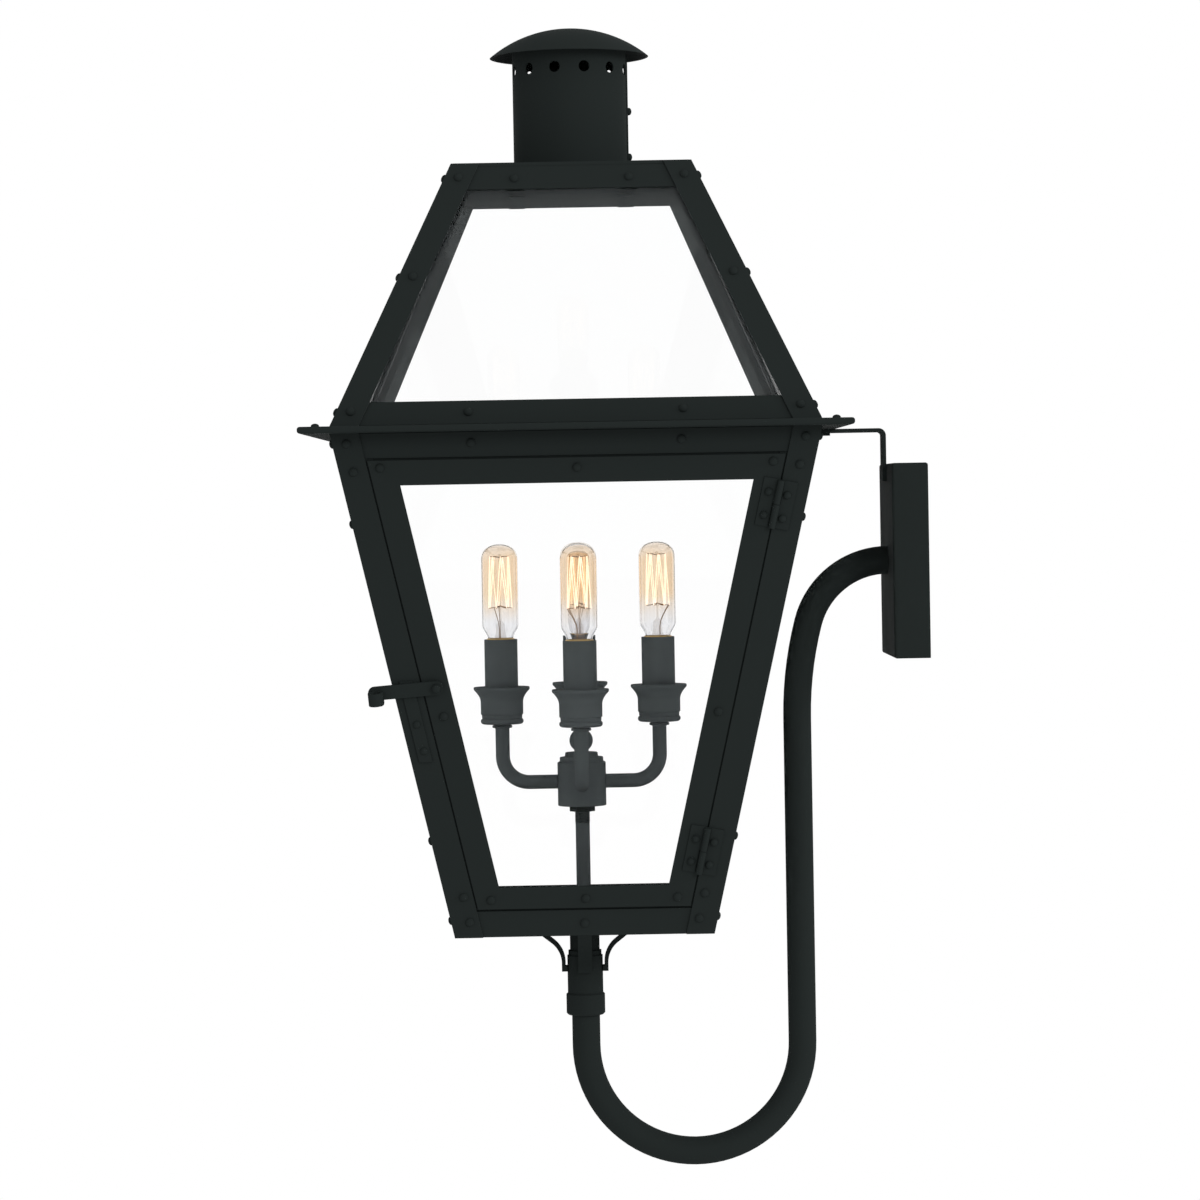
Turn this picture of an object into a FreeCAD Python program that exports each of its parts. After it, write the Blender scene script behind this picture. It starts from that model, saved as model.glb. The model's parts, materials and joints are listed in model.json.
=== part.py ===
import FreeCAD, Part
import math
import operator
import os
import types

import Sketcher

Vector = FreeCAD.Vector

# Outdoor wall lantern on a bent tube arm.
# Frame: origin at the middle of the wall plate's back, +X into the wall, -Y towards
# the door, +Z up. The lantern stands on a vertical axis, one reach away from the wall.
# Heights in the sheet are taken from the cage's bottom edge unless the note says otherwise.

SIZES = [
    ("reach", 235.0, "lantern axis to the wall"),
    ("plate_drop", 89.7, "middle of the wall plate below the eave"),
    ("sheet_wall", 1.5, "thickness of posts, rails and door strips"),
    ("post_leg", 18.7, "width of one leg of a corner post"),
    ("cage_bottom", 172.0, "width of the cage at its bottom edge"),
    ("cage_height", 334.0, "cage bottom to the underside of the eave"),
    ("cage_foot_rail", 18.0, "height of the cage's bottom rails"),
    ("cage_head_rail", 16.6, "height of the cage's top rails"),
    ("rail_inset", 5.0, "rail end to the corner of the cage"),
    ("glass_thickness", 3.0, "thickness of a pane"),
    ("glass_lap", 8.0, "pane edge hidden behind the strips"),
    ("eave_width", 356.0, "width of the eave plate"),
    ("eave_edge", 4.4, "height of the eave's hem"),
    ("eave_round", 1.8, "rounding of the eave's hem"),
    ("eave_overhang", 19.5, "eave beyond the cage and the roof, on each side"),
    ("eave_border", 36.0, "eave plate round its opening"),
    ("roof_top", 159.0, "width of the roof at its top"),
    ("roof_height", 174.0, "height of the roof"),
    ("roof_foot_rail", 16.2, "height of the roof's bottom rails"),
    ("roof_head_rail", 17.0, "height of the roof's top rails"),
    ("clip_width", 11.0, "width of a glass clip"),
    ("clip_wall", 1.0, "thickness of a glass clip"),
    ("clip_tongue", 7.0, "reach of a clip over the pane"),
    ("clip_foot", 4.4, "foot of a clip on its rail"),
    ("roof_head_clip", 38.0, "clips on the top rails, from the middle"),
    ("roof_foot_clip", 69.0, "clips on the bottom rails, from the middle"),
    ("cage_clip", 68.0, "clips of the cage panes, from the middle"),
    ("chimney_width", 77.4, "outer diameter of the chimney"),
    ("chimney_wall", 1.2, "wall of the chimney and its cap"),
    ("cap_lift", 77.2, "rim of the cap above the roof's top"),
    ("cap_width", 107.8, "diameter of the cap's rim"),
    ("cap_rise", 19.3, "height of the domed cap"),
    ("vent_width", 7.5, "diameter of a vent hole"),
    ("vent_lift", 67.5, "vent holes above the roof's top"),
    ("vent_count", 12, "vent holes round the chimney"),
    ("door_gap", 1.2, "gap round the door"),
    ("door_stile", 17.3, "width of a door stile"),
    ("door_head", 16.2, "height of the door's top rail"),
    ("door_foot", 14.5, "height of the door's bottom rail"),
    ("stop_width", 8.0, "width of a door stop"),
    ("stop_lap", 3.0, "door stop hidden behind the post or the rail"),
    ("stop_wall", 1.2, "thickness of the level door stops"),
    ("hinge_length", 32.0, "length of a hinge"),
    ("hinge_leaf", 11.0, "hinge axis to the edge of a leaf"),
    ("hinge_wall", 1.0, "thickness of a hinge leaf"),
    ("hinge_barrel", 4.4, "diameter of a hinge barrel"),
    ("hinge_pin", 2.0, "diameter of a hinge pin"),
    ("hinge_play", 0.05, "radial play of a pin in its bore"),
    ("upper_hinge", 284.2, "height of the upper hinge's middle"),
    ("lower_hinge", 56.7, "height of the lower hinge's middle"),
    ("run_clearance", 0.35, "space between pieces that move past each other"),
    ("latch_height", 168.5, "height of the latch pivot"),
    ("latch_bar", 9.2, "height of the latch bar"),
    ("latch_reach", 44.6, "latch pivot to the end of the bar"),
    ("latch_wall", 1.6, "thickness of the latch bar"),
    ("latch_curl", 4.2, "drop of the finger tab below the bar"),
    ("latch_finger", 10.0, "width of the finger tab"),
    ("latch_shoulder_round", 4.4, "rounding where the bar turns into its tab"),
    ("latch_tip_round", 2.4, "rounding of the tab's corners"),
    ("latch_pin", 4.0, "diameter of the latch pivot"),
    ("latch_shoulder", 8.0, "diameter of the shoulder under the bar"),
    ("latch_head_width", 5.8, "diameter of the pivot's head"),
    ("latch_sag", 4.5, "droop of the bar at rest in degrees"),
    ("keeper_wall", 1.2, "thickness of the keeper strip"),
    ("keeper_width", 8.6, "width of the keeper strip"),
    ("keeper_bottom", 119.0, "height of the keeper's lower end"),
    ("keeper_top", 172.8, "height of the keeper's upper end"),
    ("keeper_edge", 4.6, "keeper to the inner edge of the post"),
    ("latch_head", 1.5, "height of the pivot's head"),
    ("stem_width", 9.7, "outer diameter of the cluster's stem"),
    ("wire_bore", 6.0, "wire way through the stem and the pan"),
    ("stem_nut_width", 15.0, "nut under the hub across its flats"),
    ("stem_nut_height", 4.0, "height of the nut under the hub"),
    ("hub_bottom", 80.5, "underside of the hub"),
    ("hub_width", 33.0, "diameter of the hub"),
    ("hub_height", 30.0, "height of the hub's drum"),
    ("hub_tier_width", 29.5, "diameter of the first step on the hub"),
    ("hub_tier_height", 3.2, "height of each step on the hub"),
    ("hub_crown_width", 22.0, "diameter of the second step on the hub"),
    ("ball_width", 16.0, "diameter of the ball finial"),
    ("ball_neck", 8.0, "diameter of the finial's neck"),
    ("lamp_count", 4, "candles round the hub"),
    ("lamp_radius", 53.6, "hub axis to a candle's axis"),
    ("lamp_arm_width", 9.6, "diameter of a candle arm"),
    ("lamp_arm_height", 97.0, "height of the arms at the hub"),
    ("lamp_arm_bend", 18.0, "bend radius of a candle arm"),
    ("cup_bottom", 137.0, "underside of a cup"),
    ("cup_height", 25.4, "height of a cup"),
    ("cup_foot_width", 29.0, "diameter of a cup's foot"),
    ("cup_lip_width", 38.5, "diameter of a cup's lip"),
    ("cup_well", 6.0, "depth of the well that the candle stands in"),
    ("candle_width", 22.6, "diameter of a candle sleeve"),
    ("candle_wall", 1.0, "wall of a candle sleeve"),
    ("candle_top", 194.8, "top edge of a candle sleeve"),
    ("socket_width", 19.0, "diameter of a lampholder"),
    ("fit_play", 0.1, "radial play of a fixed fit"),
    ("bulb_base_width", 13.4, "diameter of a bulb's screw base"),
    ("bulb_base_height", 20.0, "length of a bulb's screw base"),
    ("bulb_ring_width", 17.6, "diameter of the ring on a bulb's base"),
    ("bulb_ring_height", 1.4, "height of the ring on a bulb's base"),
    ("bulb_width", 24.8, "diameter of a bulb"),
    ("bulb_neck_width", 17.0, "diameter of a bulb's neck"),
    ("bulb_shoulder", 9.0, "height of the taper above a bulb's neck"),
    ("bulb_height", 65.0, "height of the glass of a bulb"),
    ("bulb_wall", 0.8, "wall of a bulb's glass"),
    ("bulb_stem_flare", 12.0, "foot of the glass stem in a bulb"),
    ("bulb_stem_width", 4.0, "tip of the glass stem in a bulb"),
    ("bulb_stem_height", 26.0, "height of the glass stem in a bulb"),
    ("pan_wall", 1.5, "thickness of the bottom pan"),
    ("neck_width", 20.2, "diameter of the neck under the pan"),
    ("neck_length", 22.0, "length of the neck under the pan"),
    ("bead_width", 22.6, "diameter of the bead on the neck's lower end"),
    ("bead_height", 3.4, "height of the bead on the neck"),
    ("sleeve_width", 24.2, "diameter of the sleeve on the arm"),
    ("sleeve_length", 25.4, "length of the sleeve on the arm"),
    ("coupling_width", 26.4, "diameter of the coupling ring"),
    ("coupling_length", 15.2, "length of the coupling ring"),
    ("coupling_edge", 1.2, "chamfer of the coupling ring"),
    ("brace_width", 9.5, "width of a brace"),
    ("brace_wall", 2.6, "thickness of a brace"),
    ("brace_stand", 1.2, "brace from the sleeve, above its toe"),
    ("brace_toe", 3.6, "height of the toe that meets the sleeve"),
    ("brace_bottom", 32.8, "brace end below the pan"),
    ("brace_straight", 5.8, "straight end of a brace"),
    ("brace_bend", 20.0, "bend radius of a brace"),
    ("brace_angle", 52.0, "turn of a brace in degrees"),
    ("brace_foot_bend", 5.0, "bend radius at the foot of a brace"),
    ("brace_foot", 9.0, "flat foot of a brace under the pan"),
    ("arm_width", 19.05, "outer diameter of the arm"),
    ("arm_wall", 1.5, "wall of the arm"),
    ("arm_bend", 73.9, "radius of the arm's U bend"),
    ("arm_bend_drop", 83.8, "centre of the U bend below the pan"),
    ("arm_lead_bend", 250.0, "radius of the gentle bend below the plate"),
    ("arm_lead_angle", 15.0, "turn of the gentle bend in degrees"),
    ("arm_thread", 9.0, "arm end inside the wall plate"),
    ("lock_nut_width", 30.0, "nut in the wall plate across its flats"),
    ("lock_nut_height", 6.0, "thickness of the nut in the wall plate"),
    ("plate_depth", 24.2, "depth of the wall plate"),
    ("plate_height", 131.0, "height of the wall plate"),
    ("plate_width", 110.0, "width of the wall plate"),
    ("plate_round", 1.8, "rounding of the wall plate's edges"),
    ("crossbar_width", 19.0, "width of the mounting bar"),
    ("crossbar_wall", 2.4, "thickness of the mounting bar"),
    ("crossbar_ear", 12.0, "depth of the mounting bar's ears"),
    ("crossbar_spacing", 88.9, "distance between the wall screws"),
    ("crossbar_hole", 5.2, "diameter of a wall screw hole"),
    ("strap_width", 19.0, "width of the hanger strap"),
    ("strap_wall", 2.6, "thickness of the hanger strap"),
    ("strap_bend", 2.4, "inner bend radius of the strap"),
    ("strap_reach", 16.5, "strap under the eave, from the eave's edge"),
    ("strap_overlap", 11.8, "strap on the wall plate, from the plate's top"),
    ("strap_screw_inset", 8.0, "strap screw from the eave's edge"),
    ("strap_head_width", 6.0, "strap nut across its flats"),
    ("strap_head_height", 1.8, "height of the strap's nut"),
]

doc = FreeCAD.newDocument("wall_lantern")
sheet = doc.addObject("Spreadsheet::Sheet", "Size")
for row, (alias, number, note) in enumerate(SIZES, start=1):
    sheet.set(f"A{row}", note)
    sheet.set(f"B{row}", str(number))
    sheet.setAlias(f"B{row}", alias)
doc.recompute()


class Measure:
    """A length worked out from the sheet: its value now, and the expression that ties it."""

    def __init__(self, value, text):
        self.value = value
        self.text = text

    def join(self, sign, other, swap=False):
        left, right = (as_measure(other), self) if swap else (self, as_measure(other))
        value = SIGNS[sign](left.value, right.value)
        return Measure(value, f"({left.text} {sign} {right.text})")

    def __add__(self, other):
        return self.join("+", other)

    def __sub__(self, other):
        return self.join("-", other)

    def __mul__(self, other):
        return self.join("*", other)

    def __truediv__(self, other):
        return self.join("/", other)

    def __radd__(self, other):
        return self.join("+", other, swap=True)

    def __rsub__(self, other):
        return self.join("-", other, swap=True)

    def __rmul__(self, other):
        return self.join("*", other, swap=True)

    def __rtruediv__(self, other):
        return self.join("/", other, swap=True)

    def __neg__(self):
        return self.join("-", 0, swap=True)


SIGNS = {"+": operator.add, "-": operator.sub, "*": operator.mul, "/": operator.truediv}


def as_measure(number):
    return number if isinstance(number, Measure) else Measure(float(number), repr(number))


def root(number):
    return Measure(math.sqrt(number.value), f"sqrt({number.text})")


def sine(degrees):
    return Measure(math.sin(math.radians(degrees.value)), f"sin({degrees.text})")


def cosine(degrees):
    return Measure(math.cos(math.radians(degrees.value)), f"cos({degrees.text})")


def slope_angle(slope):
    return Measure(math.degrees(math.atan(slope.value)), f"(atan({slope.text}) / 1 deg)")


S = types.SimpleNamespace(**{alias: Measure(number, f"Size.{alias}") for alias, number, note in SIZES})
CAGE_DROP = S.cage_height - S.plate_drop
ZERO = Measure(0.0, "0")
SIDES = ("front", "right", "back", "left")
QUARTER = 90
pieces = []


def bind(feature, name, measure):
    feature.setExpression(name, as_measure(measure).text)


def new_body(label, x=ZERO, y=ZERO, z=ZERO, turn=0):
    """A body of its own for one sub-part, placed from the sheet and turned about Z."""
    body = doc.addObject("PartDesign::Body", label)
    body.Label = label
    place = Vector(x.value, y.value, z.value)
    body.Placement = FreeCAD.Placement(place, FreeCAD.Rotation(Vector(0, 0, 1), turn))
    for axis, measure in zip("xyz", (x, y, z)):
        bind(body, f"Placement.Base.{axis}", measure)
    pieces.append(body)
    return body


def on_lantern(label, turn=0):
    """A body whose own origin is the lantern's axis at the cage's bottom edge."""
    return new_body(label, -S.reach, ZERO, -CAGE_DROP, turn)


def origin_feature(body, role):
    return [item for item in body.Origin.OriginFeatures if item.Role == role][0]


def new_sketch(body, role, shift=(ZERO, ZERO, ZERO), turns=()):
    """A sketch on one of the body's own planes, shifted and turned as (axis, degrees) in turn."""
    sketch = body.newObject("Sketcher::SketchObject", f"{body.Name}_sketch")
    sketch.AttachmentSupport = [(origin_feature(body, role), "")]
    sketch.MapMode = "FlatFace"
    spin = FreeCAD.Rotation()
    for axis, angle in turns:
        spin = spin.multiply(FreeCAD.Rotation(TURN_AXES[axis], angle.value))
    sketch.AttachmentOffset = FreeCAD.Placement(Vector(*(m.value for m in shift)), spin)
    spin_text = " * ".join(f"rotation{axis}({angle.text})" for axis, angle in turns)
    shift_text = "; ".join(m.text for m in shift)
    sketch.setExpression(
        "AttachmentOffset", f"placement(vector({shift_text}); {spin_text or 'rotationz(0)'})")
    return sketch


TURN_AXES = {"x": Vector(1, 0, 0), "y": Vector(0, 1, 0), "z": Vector(0, 0, 1)}


def tie(sketch, kind, measure, *where):
    """One dimension of a sketch, bound to the sheet."""
    index = sketch.addConstraint(Sketcher.Constraint(kind, *where, measure.value))
    sketch.renameConstraint(index, f"size{index}")
    bind(sketch, f"Constraints.size{index}", measure)


def tie_point(sketch, geometry, end, x, y):
    """Fix one point of a sketch at x, y from the sketch's origin."""
    for kind, axis, measure in (("DistanceX", -2, x), ("DistanceY", -1, y)):
        if measure is ZERO:
            sketch.addConstraint(Sketcher.Constraint("PointOnObject", geometry, end, axis))
        else:
            tie(sketch, kind, measure, -1, 1, geometry, end)


def add_arc(sketch, start, end, radius):
    """An arc under half a turn, to the left of its chord's middle for a negative radius."""
    chord = end - start
    across = Vector(-chord.y, chord.x, 0).normalize()
    rise = math.sqrt(radius ** 2 - (chord.Length / 2) ** 2)
    centre = (start + end) / 2 + across * math.copysign(rise, radius)
    angles = [math.atan2(p.y - centre.y, p.x - centre.x) for p in (start, end)]
    ends = (1, 2)
    if radius < 0:
        angles.reverse()
        ends = (2, 1)
    circle = Part.Circle(centre, Vector(0, 0, 1), abs(radius))
    return sketch.addGeometry(Part.ArcOfCircle(circle, angles[0], angles[1])), ends


def draw(sketch, points, closed=True):
    """Lines and arcs through points (x, y) or (x, y, radius of the arc to the next point).

    A positive radius runs anticlockwise to the next point, a negative one clockwise.
    """
    spots = [(as_measure(p[0]), as_measure(p[1])) for p in points]
    count = len(points) if closed else len(points) - 1
    runs = []
    for i in range(count):
        j = (i + 1) % len(points)
        start, end = (Vector(spots[k][0].value, spots[k][1].value, 0) for k in (i, j))
        if len(points[i]) > 2:
            runs.append(add_arc(sketch, start, end, points[i][2].value))
        else:
            runs.append((sketch.addGeometry(Part.LineSegment(start, end)), (1, 2)))
    for i in range(count if closed else count - 1):
        after, after_ends = runs[(i + 1) % count]
        here, here_ends = runs[i]
        sketch.addConstraint(
            Sketcher.Constraint("Coincident", here, here_ends[1], after, after_ends[0]))
    for i, (geometry, ends) in enumerate(runs):
        tie_point(sketch, geometry, ends[0], *spots[i])
        if len(points[i]) > 2:
            radius = points[i][2]
            tie(sketch, "Radius", radius if radius.value > 0 else -radius, geometry)
    if not closed:
        tie_point(sketch, runs[-1][0], runs[-1][1][1], *spots[-1])
    return sketch


def draw_circle(sketch, x, y, diameter):
    x, y = as_measure(x), as_measure(y)
    centre = Vector(x.value, y.value, 0)
    circle = sketch.addGeometry(Part.Circle(centre, Vector(0, 0, 1), diameter.value / 2))
    tie_point(sketch, circle, 3, x, y)
    tie(sketch, "Diameter", diameter, circle)
    return sketch


def draw_hexagon(sketch, x, y, width):
    """Six sides with a given width across the flats, two of them level."""
    x, y = as_measure(x), as_measure(y)
    flat, corner = width / 2, width / root(as_measure(3))
    return draw(sketch, [
        (x - corner / 2, y - flat), (x + corner / 2, y - flat), (x + corner, y),
        (x + corner / 2, y + flat), (x - corner / 2, y + flat), (x - corner, y)])


def box_points(x0, y0, x1, y1):
    return [(x0, y0), (x1, y0), (x1, y1), (x0, y1)]


def pad(body, sketch, length, reverse=False, both_ways=False):
    feature = body.newObject("PartDesign::Pad", f"{body.Name}_pad")
    feature.Profile = sketch
    feature.Length = length.value
    bind(feature, "Length", length)
    feature.Reversed = reverse
    feature.Midplane = both_ways
    return feature


def pocket(body, sketch, length, reverse=False, both_ways=False):
    feature = body.newObject("PartDesign::Pocket", f"{body.Name}_pocket")
    feature.Profile = sketch
    feature.Length = length.value
    bind(feature, "Length", length)
    feature.Reversed = reverse
    feature.Midplane = both_ways
    return feature


def turned(body, points, place=ZERO):
    """A solid of revolution about the vertical at the given distance from the body's axis."""
    sketch = draw(new_sketch(body, "XZ_Plane", (place, ZERO, ZERO)), points)
    feature = body.newObject("PartDesign::Revolution", f"{body.Name}_turned")
    feature.Profile = sketch
    feature.ReferenceAxis = (sketch, ["V_Axis"])
    feature.Angle = 360
    return feature


def repeat_round(body, features, count):
    """Copies of features, evenly round the body's own vertical axis."""
    pattern = body.newObject("PartDesign::PolarPattern", f"{body.Name}_round")
    pattern.Originals = features
    pattern.Axis = (origin_feature(body, "Z_Axis"), [""])
    pattern.Angle = 360
    pattern.Occurrences = int(count.value)
    bind(pattern, "Occurrences", count)
    body.Tip = pattern
    return pattern


def bent_tube(body, route, width, bore=None):
    """A round rod or tube along a route of lines and arcs in the XZ plane.

    The section starts on the route's first point, square to its first, vertical or level run.
    """
    path = draw(new_sketch(body, "XZ_Plane"), route, closed=False)
    start_x, start_z = (as_measure(m) for m in route[0][:2])
    level = abs(route[1][1].value - start_z.value) < abs(route[1][0].value - start_x.value)
    if level:
        section = new_sketch(body, "YZ_Plane", (ZERO, ZERO, start_x))
        middle = (ZERO, start_z)
    else:
        section = new_sketch(body, "XY_Plane", (ZERO, ZERO, start_z))
        middle = (start_x, ZERO)
    draw_circle(section, *middle, width)
    if bore is not None:
        draw_circle(section, *middle, bore)
    pipe = body.newObject("PartDesign::AdditivePipe", f"{body.Name}_pipe")
    pipe.Profile = section
    pipe.Spine = path
    return pipe


class Taper:
    """Four flat sides that lean by the same slope, on a square foot at a given height."""

    def __init__(self, foot_half, slope, lift):
        self.foot_half = foot_half
        self.slope = slope
        self.lift = lift
        self.stretch = root(1 + slope * slope)
        self.tilt = 90 + slope_angle(slope)

    def half(self, height):
        """Half the width at a height above the foot."""
        return self.foot_half + self.slope * height

    def along(self, height):
        """Distance up the leaning side that reaches a height."""
        return height * self.stretch

    def spot(self, height, depth=ZERO):
        """Y and Z of a point on the front side, at a depth behind its outer plane."""
        y = depth / self.stretch - self.half(height)
        return y, self.lift + height + depth * self.slope / self.stretch

    def sketch(self, body, height=ZERO, depth=ZERO, turns=(), across=ZERO):
        """A sketch in the front side's plane: X level, Y up the lean, Z outwards."""
        shift = (across,) + self.spot(height, depth)
        return new_sketch(body, "XY_Plane", shift, (("x", self.tilt),) + tuple(turns))

    def plate(self, label, outline, depth, thickness, side=0):
        """A flat strip or pane in one side, as points (from the middle, height)."""
        body = on_lantern(label, QUARTER * side)
        points = [(x, self.along(height)) for x, height in outline]
        pad(body, draw(self.sketch(body, depth=depth), points), thickness, reverse=True)
        return body

    def post(self, label, corner, bottom, top):
        """A folded angle along one corner, with both ends level."""
        body = on_lantern(label, QUARTER * corner)
        wall = S.sheet_wall * self.stretch
        near = -self.half(bottom)
        far = near + S.post_leg
        inner = near + wall
        profile = [(near, near), (far, near), (far, inner), (inner, inner), (inner, far), (near, far)]
        sketch = draw(new_sketch(body, "XY_Plane", (ZERO, ZERO, self.lift + bottom)), profile)
        feature = pad(body, sketch, top - bottom)
        feature.UseCustomVector = True
        feature.AlongSketchNormal = True
        feature.Direction = Vector(-self.slope.value, -self.slope.value, 1)
        bind(feature, "Direction.x", -self.slope)
        bind(feature, "Direction.y", -self.slope)
        return body

    def rails(self, label, spans):
        """Level strips round all four sides, each with its ends behind two posts.

        A span is the strips' bottom and top height. The strips stop level with it at their back.
        """
        body = on_lantern(label)
        dip = PANE_DEPTH * self.slope / self.stretch
        for bottom, top in spans:
            low, high = (bottom, top - dip) if self.slope.value > 0 else (bottom - dip, top)
            end = self.half(low if self.slope.value > 0 else high) - S.rail_inset
            points = box_points(-end, self.along(low), end, self.along(high))
            sketch = draw(self.sketch(body, depth=S.sheet_wall), points)
            strip = pad(body, sketch, S.sheet_wall, reverse=True)
            repeat_round(body, [strip], as_measure(len(SIDES)))
        return body

    def pane(self, label, bottom, top, edge, depth, side=0):
        """A sheet of glass whose sides run along the posts, at a distance inside the corners."""
        low, high = self.half(bottom) - edge, self.half(top) - edge
        outline = [(-low, bottom), (low, bottom), (high, top), (-high, top)]
        return self.plate(label, outline, depth, S.glass_thickness, side)

    def clip(self, body, across, rail_edge, upward, depth):
        """A bent clip: its foot on the rail, a step over the pane's edge and a tongue on the glass.

        The rail edge is the height where the glass comes into view; upward is the sign of the
        way the tongue points.
        """
        pane_back = depth + S.glass_thickness
        step = rail_edge - upward * (S.glass_lap + S.clip_wall)
        tip = step + upward * S.clip_tongue
        heel = step - upward * S.clip_foot
        wall = upward * S.clip_wall
        points = [
            self.spot(heel, depth), self.spot(step, depth), self.spot(step, pane_back),
            self.spot(tip, pane_back), self.spot(tip, pane_back + S.clip_wall),
            self.spot(step - wall, pane_back + S.clip_wall), self.spot(step - wall, depth + S.clip_wall),
            self.spot(heel, depth + S.clip_wall),
        ]
        sketch = new_sketch(body, "YZ_Plane", (ZERO, ZERO, across))
        return pad(body, draw(sketch, points), S.clip_width, both_ways=True)


CORNERS = ("front_left", "front_right", "back_right", "back_left")
EAVE_HALF = S.eave_width / 2
WALL_TOP = EAVE_HALF - S.eave_overhang
CAGE_SLOPE = (WALL_TOP - S.cage_bottom / 2) / S.cage_height
ROOF_SLOPE = (S.roof_top / 2 - WALL_TOP) / S.roof_height
EAVE_TOP = S.cage_height + S.eave_edge
ROOF_PEAK = EAVE_TOP + S.roof_height
CAGE = Taper(S.cage_bottom / 2, CAGE_SLOPE, ZERO)
ROOF = Taper(WALL_TOP, ROOF_SLOPE, EAVE_TOP)
CAGE_RAIL_TOP = S.cage_height - S.cage_head_rail
ROOF_RAIL_TOP = S.roof_height - S.sheet_wall
ROOF_RAIL_LOW = ROOF_RAIL_TOP - S.roof_head_rail
PANE_DEPTH = 2 * S.sheet_wall


def build_cage():
    """Corner posts, rails, fixed panes and bottom pan of the tapered cage."""
    for corner, name in enumerate(CORNERS):
        CAGE.post(f"cage_post_{name}", corner, ZERO, S.cage_height)
    rails = CAGE.rails("cage_rails", [(ZERO, S.cage_foot_rail), (CAGE_RAIL_TOP, S.cage_height)])
    build_door_stops(rails)
    pane_low = S.cage_foot_rail - S.glass_lap
    pane_high = CAGE_RAIL_TOP + S.glass_lap
    for side in (1, 2, 3):
        name = f"cage_pane_{SIDES[side]}"
        CAGE.pane(name, pane_low, pane_high, S.post_leg - S.glass_lap, PANE_DEPTH, side)
    pan = on_lantern("bottom_pan")
    inside = CAGE.half(ZERO) - PANE_DEPTH * CAGE.stretch
    sketch = draw(new_sketch(pan, "XY_Plane"), box_points(-inside, -inside, inside, inside))
    pad(pan, draw_circle(sketch, ZERO, ZERO, S.wire_bore), S.pan_wall)
    clips = on_lantern("cage_glass_clips", QUARTER)
    for side_sign in (-1, 1):
        pair = [
            CAGE.clip(clips, side_sign * S.cage_clip, CAGE_RAIL_TOP, -1, PANE_DEPTH),
            CAGE.clip(clips, side_sign * S.cage_clip / 2, S.cage_foot_rail, 1, PANE_DEPTH),
        ]
        rows = clips.newObject("PartDesign::PolarPattern", "cage_clip_round")
        rows.Originals = pair
        rows.Axis = (origin_feature(clips, "Z_Axis"), [""])
        rows.Angle = 2 * QUARTER
        rows.Occurrences = len(SIDES) - 1
        clips.Tip = rows


def build_door_stops(rails):
    """Strips behind the gap round the door: level ones on the rails, leaning ones between them."""
    for edge, sign in ((S.cage_foot_rail, 1), (CAGE_RAIL_TOP, -1)):
        outer = edge - sign * S.stop_lap
        inner = outer + sign * S.stop_width
        low, high = (outer, inner) if sign > 0 else (inner, outer)
        end = CAGE.half(low) - S.post_leg + S.stop_lap
        points = box_points(-end, CAGE.along(low), end, CAGE.along(high))
        sketch = CAGE.sketch(rails, depth=PANE_DEPTH + S.fit_play)
        pad(rails, draw(sketch, points), S.stop_wall, reverse=True)
    front = S.sheet_wall + S.run_clearance
    for sign in (-1, 1):
        outline = []
        ends = (S.cage_foot_rail + S.run_clearance, CAGE_RAIL_TOP - S.run_clearance)
        for height, edges in zip(ends, ((0, 1), (1, 0))):
            frame_edge = CAGE.half(height) - S.post_leg + S.stop_lap
            spots = (frame_edge, frame_edge - S.stop_width)
            outline += [(sign * spots[edge], CAGE.along(height)) for edge in edges]
        pad(rails, draw(CAGE.sketch(rails, depth=front), outline), PANE_DEPTH - front, reverse=True)


def rim_edges(shape, reach):
    """Names of the level edges that run round a square plate at a distance from its middle."""
    names = []
    for number, edge in enumerate(shape.Edges, start=1):
        middle = edge.CenterOfMass
        level = edge.BoundBox.ZLength < edge.Length / 2
        if level and math.isclose(max(abs(middle.x), abs(middle.y)), reach, abs_tol=1e-6):
            names.append(f"Edge{number}")
    return names


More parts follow.
